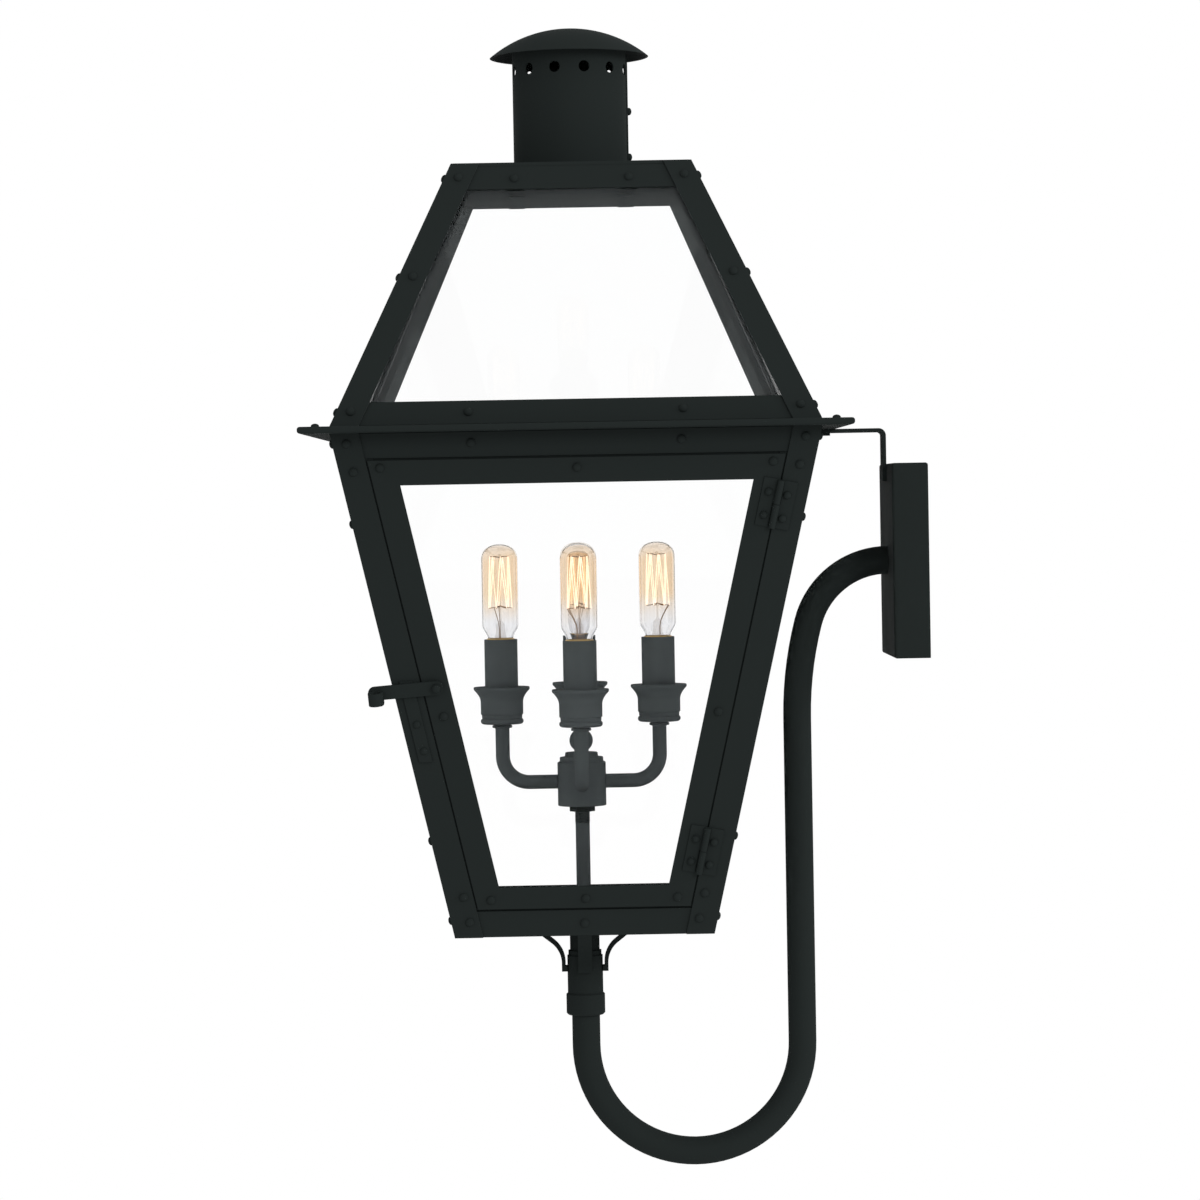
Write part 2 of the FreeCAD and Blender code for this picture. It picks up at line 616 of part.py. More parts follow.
def build_eave_and_roof():
    """Hemmed eave plate, roof posts, rails and panes, and the plate that carries the chimney."""
    eave = on_lantern("eave_plate")
    outer, opening = EAVE_HALF, EAVE_HALF - S.eave_border
    sketch = new_sketch(eave, "XY_Plane", (ZERO, ZERO, S.cage_height))
    draw(sketch, box_points(-outer, -outer, outer, outer))
    draw(sketch, box_points(-opening, -opening, opening, opening))
    plate = pad(eave, sketch, S.eave_edge)
    doc.recompute()
    hem = eave.newObject("PartDesign::Fillet", "eave_hem")
    hem.Base = (plate, rim_edges(plate.Shape, outer.value))
    hem.Radius = S.eave_round.value
    bind(hem, "Radius", S.eave_round)
    for corner, name in enumerate(CORNERS):
        ROOF.post(f"roof_post_{name}", corner, ZERO, S.roof_height)
    ROOF.rails("roof_rails", [(ZERO, S.roof_foot_rail), (ROOF_RAIL_LOW, ROOF_RAIL_TOP)])
    pane_low = S.roof_foot_rail - S.glass_lap
    pane_high = ROOF_RAIL_LOW + S.glass_lap
    for side, name in enumerate(SIDES):
        ROOF.pane(f"roof_pane_{name}", pane_low, pane_high, S.post_leg - S.glass_lap, PANE_DEPTH, side)
    clips = on_lantern("roof_glass_clips")
    for side_sign in (-1, 1):
        pair = [
            ROOF.clip(clips, side_sign * S.roof_head_clip, ROOF_RAIL_LOW, -1, PANE_DEPTH),
            ROOF.clip(clips, side_sign * S.roof_foot_clip, S.roof_foot_rail, 1, PANE_DEPTH),
        ]
        repeat_round(clips, pair, as_measure(len(SIDES)))
    top = on_lantern("roof_top_plate")
    inside = ROOF.half(ROOF_RAIL_TOP) - S.sheet_wall * ROOF.stretch + ROOF_SLOPE * S.sheet_wall
    dip = S.sheet_wall * ROOF_SLOPE / ROOF.stretch
    sketch = new_sketch(top, "XY_Plane", (ZERO, ZERO, EAVE_TOP + ROOF_RAIL_TOP + dip))
    draw(sketch, box_points(-inside, -inside, inside, inside))
    pad(top, draw_circle(sketch, ZERO, ZERO, S.chimney_width - 4 * S.chimney_wall), S.sheet_wall - dip)


def build_chimney():
    """Chimney tube with a row of vent holes, under a domed cap of thin sheet."""
    outer = S.chimney_width / 2
    inner = outer - S.chimney_wall
    rim = ROOF_PEAK + S.cap_lift
    rim_half = S.cap_width / 2
    dome = (rim_half * rim_half + S.cap_rise * S.cap_rise) / (2 * S.cap_rise)
    dome_centre = rim + S.cap_rise - dome
    dome_inner = dome - S.chimney_wall
    tube_top = dome_centre + root(dome_inner * dome_inner - outer * outer)
    tube = on_lantern("chimney")
    turned(tube, [(inner, ROOF_PEAK), (outer, ROOF_PEAK), (outer, tube_top), (inner, tube_top)])
    half_step = 180 / S.vent_count
    vent = new_sketch(tube, "XZ_Plane", turns=(("y", half_step),))
    draw_circle(vent, ZERO, ROOF_PEAK + S.vent_lift, S.vent_width)
    hole = pocket(tube, vent, S.chimney_width)
    repeat_round(tube, [hole], S.vent_count)
    cap = on_lantern("chimney_cap")
    lip = root(dome_inner * dome_inner - (rim - dome_centre) * (rim - dome_centre))
    turned(cap, [
        (lip, rim), (rim_half, rim, dome), (ZERO, dome_centre + dome),
        (ZERO, dome_centre + dome_inner, -dome_inner),
    ])


DOOR_LOW = S.cage_foot_rail + S.door_gap
DOOR_HIGH = CAGE_RAIL_TOP - S.door_gap


def door_edge(height, inset=ZERO):
    """Half the door's width at a height, less an inset."""
    return CAGE.half(height) - S.post_leg - S.door_gap - inset


def build_door():
    """Door frame of four flat strips with its pane and clips."""
    foot_top = DOOR_LOW + S.door_foot
    head_low = DOOR_HIGH - S.door_head
    wall = S.sheet_wall
    CAGE.plate("door_bottom_rail", [
        (-door_edge(DOOR_LOW), DOOR_LOW), (door_edge(DOOR_LOW), DOOR_LOW),
        (door_edge(foot_top), foot_top), (-door_edge(foot_top), foot_top)], ZERO, wall)
    for sign, name in ((-1, "left"), (1, "right")):
        outer_low, outer_high = sign * door_edge(foot_top), sign * door_edge(DOOR_HIGH)
        inner_low = sign * door_edge(foot_top, S.door_stile)
        inner_high = sign * door_edge(DOOR_HIGH, S.door_stile)
        CAGE.plate(f"door_{name}_stile", [
            (outer_low, foot_top), (inner_low, foot_top),
            (inner_high, DOOR_HIGH), (outer_high, DOOR_HIGH)], ZERO, wall)
    low, high = door_edge(head_low, S.door_stile), door_edge(DOOR_HIGH, S.door_stile)
    CAGE.plate("door_top_rail", [
        (-low, head_low), (low, head_low), (high, DOOR_HIGH), (-high, DOOR_HIGH)], ZERO, wall)
    pane_low, pane_high = foot_top - S.glass_lap, head_low + S.glass_lap
    edge = S.post_leg + S.door_gap + S.door_stile - S.glass_lap
    CAGE.pane("door_pane", pane_low, pane_high, edge, wall)
    clips = on_lantern("door_glass_clips")
    for side_sign in (-1, 1):
        CAGE.clip(clips, side_sign * S.cage_clip, head_low, -1, wall)
        CAGE.clip(clips, side_sign * S.cage_clip / 2, foot_top, 1, wall)


HINGE_LEAN = slope_angle(CAGE_SLOPE / CAGE.stretch)
HINGE_LIFT = S.hinge_barrel / 2 + S.run_clearance
HINGE_STRETCH = root(1 + CAGE_SLOPE * CAGE_SLOPE / (CAGE.stretch * CAGE.stretch))


def hinge_sketch(body, height, *turns):
    """A sketch at a hinge's middle: X across the seam, Y along the pin, Z outwards."""
    across = CAGE.half(height) - S.post_leg - S.door_gap / 2
    return CAGE.sketch(body, height, turns=(("z", -HINGE_LEAN),) + turns, across=across)


def barrel_sketch(body, height, width, along):
    """A round section across the hinge's pin, at a distance along it."""
    across = CAGE.half(height) - S.post_leg - S.door_gap / 2
    lean_x = along * CAGE_SLOPE / CAGE.stretch / HINGE_STRETCH
    rise = along / CAGE.stretch / HINGE_STRETCH
    turns = (("z", -HINGE_LEAN), ("x", as_measure(-QUARTER)))
    sketch = CAGE.sketch(body, height + rise, turns=turns, across=across + lean_x)
    return draw_circle(sketch, ZERO, -HINGE_LIFT, width)


def build_hinge_leaf(label, height, sign, own_low, own_high):
    """A leaf on one side of the seam, with its knuckle on its own half of the pin."""
    body = on_lantern(label)
    half = S.hinge_length / 2
    clear = S.hinge_barrel / 2 + S.run_clearance
    edge = S.hinge_leaf
    tongue = hinge_sketch(body, height)
    pad(body, draw(tongue, box_points(ZERO, own_low, sign * clear, own_high)), S.hinge_wall)
    plate = hinge_sketch(body, height)
    pad(body, draw(plate, box_points(sign * clear, -half, sign * edge, half)), S.hinge_wall)
    length = own_high - own_low
    pad(body, barrel_sketch(body, height, S.hinge_barrel, own_low), length)
    bore = S.hinge_pin + 2 * S.hinge_play
    pocket(body, barrel_sketch(body, height, bore, own_low), length, reverse=True)


def build_hinges():
    """Two hinges on the door's right seam, each with a leaf on the post and one on the door."""
    split = S.run_clearance / 2
    half = S.hinge_length / 2
    for name, height in (("upper", S.upper_hinge), ("lower", S.lower_hinge)):
        build_hinge_leaf(f"{name}_hinge_post_leaf", height, 1, -half, -split)
        build_hinge_leaf(f"{name}_hinge_door_leaf", height, -1, split, half)
        pin = on_lantern(f"{name}_hinge_pin")
        pad(pin, barrel_sketch(pin, height, S.hinge_pin, -half), S.hinge_length)


def build_latch():
    """Latch bar that turns on the door's left stile, its shouldered pivot and the post's keeper."""
    height = S.latch_height
    across = -(CAGE.half(height) - S.post_leg - S.door_gap - S.door_stile / 2)
    lift = S.keeper_wall + S.run_clearance
    half = S.latch_bar / 2
    end = -S.latch_reach
    finger = end + S.latch_finger
    drop = -(half + S.latch_curl)
    bend, tip = S.latch_shoulder_round, S.latch_tip_round
    bar = on_lantern("latch_bar")
    sketch = CAGE.sketch(bar, height, depth=-lift, turns=(("z", S.latch_sag),), across=across)
    draw(sketch, [
        (ZERO, -half, half), (half, ZERO, half), (ZERO, half), (end + bend, half, bend),
        (end, half - bend), (end, drop + tip, tip), (end + tip, drop), (finger - tip, drop, tip),
        (finger, drop + tip), (finger, -half)])
    hole = S.latch_pin + 2 * S.hinge_play
    pad(bar, draw_circle(sketch, ZERO, ZERO, hole), S.latch_wall)
    pivot = on_lantern("latch_pivot")
    stack = CAGE.sketch(pivot, height, across=across)
    pad(pivot, draw_circle(stack, ZERO, ZERO, S.latch_shoulder), lift - S.run_clearance)
    shank = CAGE.sketch(pivot, height, across=across)
    reach = lift + S.latch_wall + S.run_clearance
    pad(pivot, draw_circle(shank, ZERO, ZERO, S.latch_pin), reach)
    head = CAGE.sketch(pivot, height, depth=-reach, across=across)
    pad(pivot, draw_circle(head, ZERO, ZERO, S.latch_head_width), S.latch_head)
    low, high = S.keeper_bottom, S.keeper_top
    inner_low = -(CAGE.half(low) - S.post_leg + S.keeper_edge)
    inner_high = -(CAGE.half(high) - S.post_leg + S.keeper_edge)
    CAGE.plate("latch_keeper", [
        (inner_low - S.keeper_width, low), (inner_low, low),
        (inner_high, high), (inner_high - S.keeper_width, high)], -S.keeper_wall, S.keeper_wall)


def build_cluster():
    """Stem, hub and four candle arms with cups, sleeves, lampholders and bulbs."""
    count = S.lamp_count
    stem = on_lantern("cluster_stem")
    bore, outer = S.wire_bore / 2, S.stem_width / 2
    turned(stem, [(bore, S.pan_wall), (outer, S.pan_wall), (outer, S.hub_bottom), (bore, S.hub_bottom)])
    nut = on_lantern("stem_nut")
    ring = new_sketch(nut, "XY_Plane", (ZERO, ZERO, S.hub_bottom - S.stem_nut_height))
    draw_hexagon(ring, ZERO, ZERO, S.stem_nut_width)
    pad(nut, draw_circle(ring, ZERO, ZERO, S.stem_width + 2 * S.fit_play), S.stem_nut_height)
    hub = on_lantern("cluster_hub")
    drum_top = S.hub_bottom + S.hub_height
    tier_top = drum_top + S.hub_tier_height
    crown_top = tier_top + S.hub_tier_height
    ease = S.hub_tier_height / 2
    drum = S.hub_width / 2
    turned(hub, [
        (ZERO, S.hub_bottom), (drum - ease, S.hub_bottom), (drum, S.hub_bottom + ease),
        (drum, drum_top), (S.hub_tier_width / 2, drum_top), (S.hub_tier_width / 2, tier_top),
        (S.hub_crown_width / 2, tier_top), (S.hub_crown_width / 2, crown_top), (ZERO, crown_top)])
    finial = on_lantern("hub_finial")
    ball, neck = S.ball_width / 2, S.ball_neck / 2
    ball_centre = crown_top + ball
    neck_top = ball_centre - root(ball * ball - neck * neck)
    turned(finial, [
        (ZERO, crown_top), (neck, crown_top), (neck, neck_top, ball), (ball, ball_centre, ball),
        (ZERO, ball_centre + ball)])
    build_candle_arms(count, drum)
    build_candles(count)


def build_candle_arms(count, drum):
    """Arms that leave the hub level and bend up to the cups."""
    arms = on_lantern("candle_arms")
    level, radius, bend = S.lamp_arm_height, S.lamp_radius, S.lamp_arm_bend
    pipe = bent_tube(arms, [
        (drum, level), (radius - bend, level, bend), (radius, level + bend), (radius, S.cup_bottom),
    ], S.lamp_arm_width)
    repeat_round(arms, [pipe], count)


def build_candles(count):
    """Cups, candle sleeves, lampholders and bulbs on the arms."""
    radius = S.lamp_radius
    foot, lip = S.cup_foot_width / 2, S.cup_lip_width / 2
    cup_low, cup_top = S.cup_bottom, S.cup_bottom + S.cup_height
    ring = S.cup_height / 6
    waist = foot - ring / 2
    well = S.candle_width / 2 + S.fit_play
    floor = cup_top - S.cup_well
    cups = on_lantern("candle_cups")
    cup = turned(cups, [
        (ZERO, cup_low), (foot, cup_low), (foot, cup_low + ring), (waist, cup_low + 2 * ring),
        (waist, cup_top - 2 * ring), (lip, cup_top - ring / 2), (lip, cup_top),
        (well, cup_top), (well, floor), (ZERO, floor)], radius)
    repeat_round(cups, [cup], count)
    sleeves = on_lantern("candle_sleeves")
    outer, inner = S.candle_width / 2, S.candle_width / 2 - S.candle_wall
    sleeve = turned(sleeves, [
        (inner, floor), (outer, floor), (outer, S.candle_top), (inner, S.candle_top)], radius)
    repeat_round(sleeves, [sleeve], count)
    base_top = S.candle_top
    base_low = base_top - S.bulb_base_height
    base = S.bulb_base_width / 2
    socket, socket_bore = S.socket_width / 2, base + S.fit_play
    sockets = on_lantern("lampholders")
    socket_top = base_top - S.bulb_ring_height
    holder = turned(sockets, [
        (ZERO, floor), (socket, floor), (socket, socket_top), (socket_bore, socket_top),
        (socket_bore, base_low), (ZERO, base_low)], radius)
    repeat_round(sockets, [holder], count)
    bases = on_lantern("bulb_bases")
    flange = S.bulb_ring_width / 2
    cap = turned(bases, [
        (ZERO, base_low), (base, base_low), (base, socket_top), (flange, socket_top),
        (flange, base_top), (ZERO, base_top)], radius)
    repeat_round(bases, [cap], count)
    build_bulb_glass(count, base_top)


def build_bulb_glass(count, base_top):
    """Tubular bulbs with a tapered neck and a round end, and the glass stem inside each."""
    radius = S.lamp_radius
    wall = S.bulb_wall
    neck, body = S.bulb_neck_width / 2, S.bulb_width / 2
    shoulder = base_top + S.bulb_shoulder
    tip = base_top + S.bulb_height
    round_end = tip - body
    glass = on_lantern("bulb_glasses")
    bulb = turned(glass, [
        (neck - wall, base_top), (neck, base_top), (body, shoulder), (body, round_end, body),
        (ZERO, tip), (ZERO, tip - wall, wall - body), (body - wall, round_end), (body - wall, shoulder),
    ], radius)
    repeat_round(glass, [bulb], count)
    stems = on_lantern("bulb_stems")
    flare, rod = S.bulb_stem_flare / 2, S.bulb_stem_width / 2
    stem_top = base_top + S.bulb_stem_height
    stem = turned(stems, [
        (ZERO, base_top), (flare, base_top), (rod, stem_top), (ZERO, stem_top)], radius)
    repeat_round(stems, [stem], count)


SLEEVE_TOP = -S.neck_length
SLEEVE_LOW = SLEEVE_TOP - S.sleeve_length
COUPLING_LOW = SLEEVE_LOW - S.coupling_length


def build_neck():
    """Neck, sleeve and coupling ring between the pan and the arm, with four braces."""
    bore = S.arm_width / 2 - S.arm_wall
    neck = on_lantern("neck_tube")
    tube = S.neck_width / 2
    wires = S.wire_bore / 2
    bead, bead_top = S.bead_width / 2, SLEEVE_TOP + S.bead_height
    turned(neck, [
        (wires, SLEEVE_TOP), (bead, SLEEVE_TOP), (bead, bead_top), (tube, bead_top),
        (tube, ZERO), (wires, ZERO)])
    sleeve = on_lantern("arm_sleeve")
    outer = S.sleeve_width / 2
    turned(sleeve, [(bore, SLEEVE_LOW), (outer, SLEEVE_LOW), (outer, SLEEVE_TOP), (bore, SLEEVE_TOP)])
    ring = on_lantern("coupling_ring")
    ring_outer, ring_bore, edge = S.coupling_width / 2, S.arm_width / 2 + S.fit_play, S.coupling_edge
    turned(ring, [
        (ring_bore, COUPLING_LOW), (ring_outer - edge, COUPLING_LOW),
        (ring_outer, COUPLING_LOW + edge), (ring_outer, SLEEVE_LOW - edge),
        (ring_outer - edge, SLEEVE_LOW), (ring_bore, SLEEVE_LOW)])
    build_braces(outer)


def build_braces(sleeve_face):
    """Flat strips from the pan that curve down to the sleeve, each with a toe that meets it."""
    wall, bend, turn = S.brace_wall, S.brace_bend, S.brace_angle
    inner = sleeve_face + S.brace_stand
    low = -S.brace_bottom
    toe_top = low + S.brace_toe
    start = low + S.brace_straight
    turn_sin, turn_cos = sine(turn), cosine(turn)
    tight = bend - wall
    arc_x, arc_z = inner + bend * (1 - turn_cos), start + bend * turn_sin
    out_x, out_z = inner + wall + tight * (1 - turn_cos), start + tight * turn_sin
    foot_bend = S.brace_foot_bend
    foot_turn = 90 - turn
    foot_sin, foot_cos = sine(foot_turn), cosine(foot_turn)
    under = -wall
    top_z = -(foot_bend + wall) * (1 - foot_cos)
    top_x = arc_x + (top_z - arc_z) * turn_sin / turn_cos
    low_z = under - foot_bend * (1 - foot_cos)
    low_x = out_x + (low_z - out_z) * turn_sin / turn_cos
    flat_x = top_x + (foot_bend + wall) * foot_sin
    toe = flat_x + S.brace_foot
    braces = on_lantern("neck_braces")
    sketch = draw(new_sketch(braces, "XZ_Plane"), [
        (sleeve_face, low), (inner + wall, low), (inner + wall, start, -tight), (out_x, out_z),
        (low_x, low_z, -foot_bend), (flat_x, under), (toe, under), (toe, ZERO),
        (flat_x, ZERO, foot_bend + wall), (top_x, top_z), (arc_x, arc_z, bend), (inner, start),
        (inner, toe_top), (sleeve_face, toe_top)])
    strip = pad(braces, sketch, S.brace_width, both_ways=True)
    repeat_round(braces, [strip], as_measure(len(SIDES)))


PLATE_FACE = S.reach - S.plate_depth


def build_arm():
    """Tube arm: down from the coupling, round a U bend, up and over into the wall plate."""
    arm = on_lantern("gooseneck_arm")
    bend, low = S.arm_bend, -S.arm_bend_drop
    rise_x = 2 * bend
    lead, turn = S.arm_lead_bend, S.arm_lead_angle
    lead_run, lead_rise = lead * (1 - cosine(turn)), lead * sine(turn)
    top_bend = (PLATE_FACE - rise_x - lead_run) / cosine(turn)
    top_rise = top_bend * (1 - sine(turn))
    lead_low = CAGE_DROP - top_rise - lead_rise
    route = [
        (ZERO, SLEEVE_LOW), (ZERO, low, bend), (bend, low - bend, bend), (rise_x, low),
        (rise_x, lead_low, -lead), (rise_x + lead_run, lead_low + lead_rise, -top_bend),
        (PLATE_FACE, CAGE_DROP), (PLATE_FACE + S.sheet_wall + S.arm_thread, CAGE_DROP)]
    bent_tube(arm, route, S.arm_width, S.arm_width - 2 * S.arm_wall)


def build_wall_plate():
    """Folded wall plate, open at the back, with the arm's nut and a mounting bar inside."""
    wall = S.sheet_wall
    half_y, half_z = S.plate_width / 2, S.plate_height / 2
    plate = new_body("wall_plate")
    face = draw(new_sketch(plate, "YZ_Plane"), box_points(-half_y, -half_z, half_y, half_z))
    block = pad(plate, face, S.plate_depth, reverse=True)
    doc.recompute()
    folds = plate.newObject("PartDesign::Fillet", "plate_folds")
    folds.Base = (block, [
        f"Edge{number}" for number, edge in enumerate(block.Shape.Edges, start=1) if edge.CenterOfMass.x < 0])
    folds.Radius = S.plate_round.value
    bind(folds, "Radius", S.plate_round)
    inside = draw(new_sketch(plate, "YZ_Plane"), box_points(
        wall - half_y, wall - half_z, half_y - wall, half_z - wall))
    pocket(plate, inside, S.plate_depth - wall)
    arm_hole = draw_circle(new_sketch(plate, "YZ_Plane"), ZERO, ZERO, S.arm_width + 2 * S.fit_play)
    pocket(plate, arm_hole, S.plate_depth)
    nut = new_body("arm_lock_nut", wall - S.plate_depth)
    ring = draw_hexagon(new_sketch(nut, "YZ_Plane"), ZERO, ZERO, S.lock_nut_width)
    pad(nut, draw_circle(ring, ZERO, ZERO, S.arm_width + 2 * S.fit_play), S.lock_nut_height)
    bar = new_body("mounting_bar")
    thick, tall = S.crossbar_wall, half_z - wall
    profile = draw(new_sketch(bar, "XZ_Plane"), [
        (ZERO, -tall), (ZERO, tall), (-S.crossbar_ear, tall), (-S.crossbar_ear, tall - thick),
        (-thick, tall - thick), (-thick, thick - tall), (-S.crossbar_ear, thick - tall),
        (-S.crossbar_ear, -tall)])
    pad(bar, profile, S.crossbar_width, both_ways=True)
    holes = new_sketch(bar, "YZ_Plane")
    for sign in (-1, 1):
        draw_circle(holes, ZERO, sign * S.crossbar_spacing / 2, S.crossbar_hole)
    pocket(bar, holes, thick)


def build_strap():
    """Hanger strap from under the eave, bent down onto the wall plate's face, and its nut."""
    strap = on_lantern("hanger_strap")
    thick, bend = S.strap_wall, S.strap_bend
    top = S.cage_height
    face = PLATE_FACE
    start = EAVE_HALF - S.strap_reach
    low = CAGE_DROP + S.plate_height / 2 - S.strap_overlap
    sketch = draw(new_sketch(strap, "XZ_Plane"), [
        (start, top - thick), (face - thick - bend, top - thick, -bend),
        (face - thick, top - thick - bend), (face - thick, low), (face, low),
        (face, top - thick - bend, bend + thick), (face - thick - bend, top), (start, top)])
    pad(strap, sketch, S.strap_width, both_ways=True)
    screws = on_lantern("fixing_screws")
    nut = new_sketch(screws, "XY_Plane", (ZERO, ZERO, top - thick - S.strap_head_height))
    draw_hexagon(nut, EAVE_HALF - S.strap_screw_inset, ZERO, S.strap_head_width)
    pad(screws, nut, S.strap_head_height)


build_wall_plate()
build_arm()
build_strap()
build_neck()
build_cage()
build_eave_and_roof()
build_chimney()
build_door()
build_hinges()
build_latch()
build_cluster()
doc.recompute()

faults = [item.Name for item in doc.Objects if "Invalid" in item.State or "Error" in item.State]
faults += [piece.Label for piece in pieces if piece.Shape.isNull() or not piece.Shape.isValid()]
if faults:
    raise RuntimeError("failed objects: " + ", ".join(faults))

os.makedirs("parts", exist_ok=True)
for piece in pieces:
    piece.Shape.exportStep(f"parts/{piece.Label}.step")
print(len(pieces), "sub-parts written")
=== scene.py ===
import json
import math

import bmesh
import bpy
import numpy as np
from bpy.props import FloatProperty, FloatVectorProperty, IntProperty, PointerProperty
from mathutils import Matrix, Vector


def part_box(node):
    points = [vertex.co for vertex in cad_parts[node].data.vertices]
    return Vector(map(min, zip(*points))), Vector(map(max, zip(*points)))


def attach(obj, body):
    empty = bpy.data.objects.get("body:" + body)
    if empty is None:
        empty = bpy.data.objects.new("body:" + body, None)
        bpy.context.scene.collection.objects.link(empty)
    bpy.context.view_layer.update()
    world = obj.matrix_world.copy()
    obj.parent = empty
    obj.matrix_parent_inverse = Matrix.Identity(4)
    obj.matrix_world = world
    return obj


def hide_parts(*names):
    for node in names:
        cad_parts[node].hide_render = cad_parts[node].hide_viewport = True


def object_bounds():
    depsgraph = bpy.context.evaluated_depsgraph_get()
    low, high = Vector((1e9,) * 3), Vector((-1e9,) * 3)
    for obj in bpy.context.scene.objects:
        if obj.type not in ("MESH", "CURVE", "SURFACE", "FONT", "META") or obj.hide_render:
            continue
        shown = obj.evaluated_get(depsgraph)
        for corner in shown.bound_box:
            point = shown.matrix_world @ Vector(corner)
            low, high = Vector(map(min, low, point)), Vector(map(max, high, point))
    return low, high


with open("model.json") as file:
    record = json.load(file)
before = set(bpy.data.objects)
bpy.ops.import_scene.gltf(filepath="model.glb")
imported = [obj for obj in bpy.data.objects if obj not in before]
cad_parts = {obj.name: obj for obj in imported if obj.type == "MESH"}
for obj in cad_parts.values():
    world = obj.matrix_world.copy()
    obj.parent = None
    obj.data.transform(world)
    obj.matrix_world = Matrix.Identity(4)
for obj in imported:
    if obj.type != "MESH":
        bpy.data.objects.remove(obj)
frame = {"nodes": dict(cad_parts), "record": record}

bl_info = {
    "name": "Wall Lantern Dressing",
    "version": (1, 0, 0),
    "blender": (4, 5, 0),
    "location": "View3D > Sidebar > Lantern",
    "description": "Rivets, bulbs, glass and paint for a gas-style wall lantern on a bent tube arm",
    "category": "Object",
}

CAD_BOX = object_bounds()
MM = 0.001
FULL_TURN = 2 * math.pi
SHARP_EDGE = math.radians(38)
WELD = 1e-7


def node_points(node):
    """Every corner of a CAD node's mesh at rest, one row each."""
    mesh = frame["nodes"][node].data
    flat = np.empty(3 * len(mesh.vertices), dtype=np.float32)
    mesh.vertices.foreach_get("co", flat)
    return flat.reshape(-1, 3).astype(float)


def node_span(node):
    """Lowest and highest corner of a CAD node as arrays."""
    low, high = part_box(node)
    return np.array(low), np.array(high)


AXIS = sum(node_span("chimney")) / 2 * np.array((1, 1, 0))
CAGE_FOOT = node_span("cage_rails")[0][2]
SHEET = 1.5 * MM


class LeaningWalls:
    """Four sides that lean alike: half width = foot + slope * (height - low), read from a corner post."""

    def __init__(self, post):
        spots = node_points(post) - AXIS
        levels = spots[:, 2]
        self.low, self.high = levels.min(), levels.max()
        self.foot, head = (
            np.abs(spots[np.isclose(levels, z, atol=1e-5), 0]).max() for z in (self.low, self.high))
        self.slope = (head - self.foot) / (self.high - self.low)

    def half(self, height):
        return self.foot + self.slope * (height - self.low)

    def spots(self, across, height, side, proud=0.0):
        """Points and outward normals: (across, -half(height), height), in quarter turns round the axis."""
        across, height, side, proud = np.broadcast_arrays(across, height, side, proud)
        stretch = math.hypot(1, self.slope)
        out = np.array((0, -1, -self.slope)) / stretch
        flat = np.stack((across, -self.half(height), height), axis=-1) + proud[..., None] * out
        angle = side * math.pi / 2
        return turn_about_z(flat, angle) + AXIS, turn_about_z(np.broadcast_to(out, flat.shape), angle)


def turn_about_z(rows, angle):
    """Rows turned about Z, each by its own angle."""
    c, s = np.cos(angle), np.sin(angle)
    x, y, z = rows[..., 0], rows[..., 1], rows[..., 2]
    return np.stack((c * x - s * y, s * x + c * y, z), axis=-1)


CAGE = LeaningWalls("cage_post_front_left")
ROOF = LeaningWalls("roof_post_front_left")


def lamp_centres():
    """The candles' axes on the level of their sleeves' top edge: a square turned onto the X and Y axes."""
    top = node_span("candle_sleeves")[1][2]
    spots = node_points("candle_sleeves") - AXIS
    right = spots[spots[:, 0] > 0.6 * spots[:, 0].max()]
    reach = (right[:, 0].min() + right[:, 0].max()) / 2
    turns = np.arange(4) * math.pi / 2
    return np.stack((reach * np.cos(turns), reach * np.sin(turns), np.full(4, top)), axis=-1) + AXIS


def grid_faces(rows, columns, wrap_rows=False, wrap_columns=False):
    """Quads between neighbours of a rows x columns grid, as an array of four corner numbers each."""
    row = np.arange(rows if wrap_rows else rows - 1)
    column = np.arange(columns if wrap_columns else columns - 1)
    r, c = np.meshgrid(row, column, indexing="ij")
    down, right = (r + 1) % rows, (c + 1) % columns
    here, below = r * columns, down * columns
    return np.stack((here + c, here + right, below + right, below + c), -1).reshape(-1, 4)


def many_faces(faces, copies, corners):
    """The faces of one grid repeated for a number of copies, each with its own corners."""
    return (faces[None] + np.arange(copies)[:, None, None] * corners).reshape(-1, 4)


def skin(name, points, faces, finish, body):
    """A mesh object from points and quads, with poles and seams merged, riding on a body."""
    mesh = bpy.data.meshes.new(name)
    mesh.from_pydata(points.reshape(-1, 3).tolist(), [], faces.tolist())
    shape = bmesh.new()
    shape.from_mesh(mesh)
    bmesh.ops.remove_doubles(shape, verts=shape.verts, dist=WELD)
    bmesh.ops.recalc_face_normals(shape, faces=shape.faces)
    shape.to_mesh(mesh)
    shape.free()
    mesh.polygons.foreach_set("use_smooth", np.ones(len(mesh.polygons), dtype=bool))
    mesh.set_sharp_from_angle(angle=SHARP_EDGE)
    mesh.materials.append(bpy.data.materials[finish])
    piece = bpy.data.objects.new(name, mesh)
    bpy.context.scene.collection.objects.link(piece)
    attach(piece, body)
    return piece


def turned_profile(profile, centres, sides):
    """A profile of (radius, height) carried round the vertical at each centre: (r cos a, r sin a, h)."""
    profile = np.asarray(profile, dtype=float)
    angle = np.arange(sides) * FULL_TURN / sides
    radius, height = profile[:, 0, None], profile[:, 1, None]
    x, y = radius * np.cos(angle), radius * np.sin(angle)
    rings = np.stack((x, y, np.broadcast_to(height, x.shape)), -1)
    points = rings[None] + np.asarray(centres)[:, None, None, :]
    faces = grid_faces(len(profile), sides, wrap_columns=True)
    return points, many_faces(faces, len(centres), len(profile) * sides)


def arc(centre, radius, start, end, count):
    """Points on a circle of a profile from one angle to another, in degrees."""
    angle = np.radians(np.linspace(start, end, count))
    return np.stack((centre[0] + radius * np.cos(angle), centre[1] + radius * np.sin(angle)), -1)


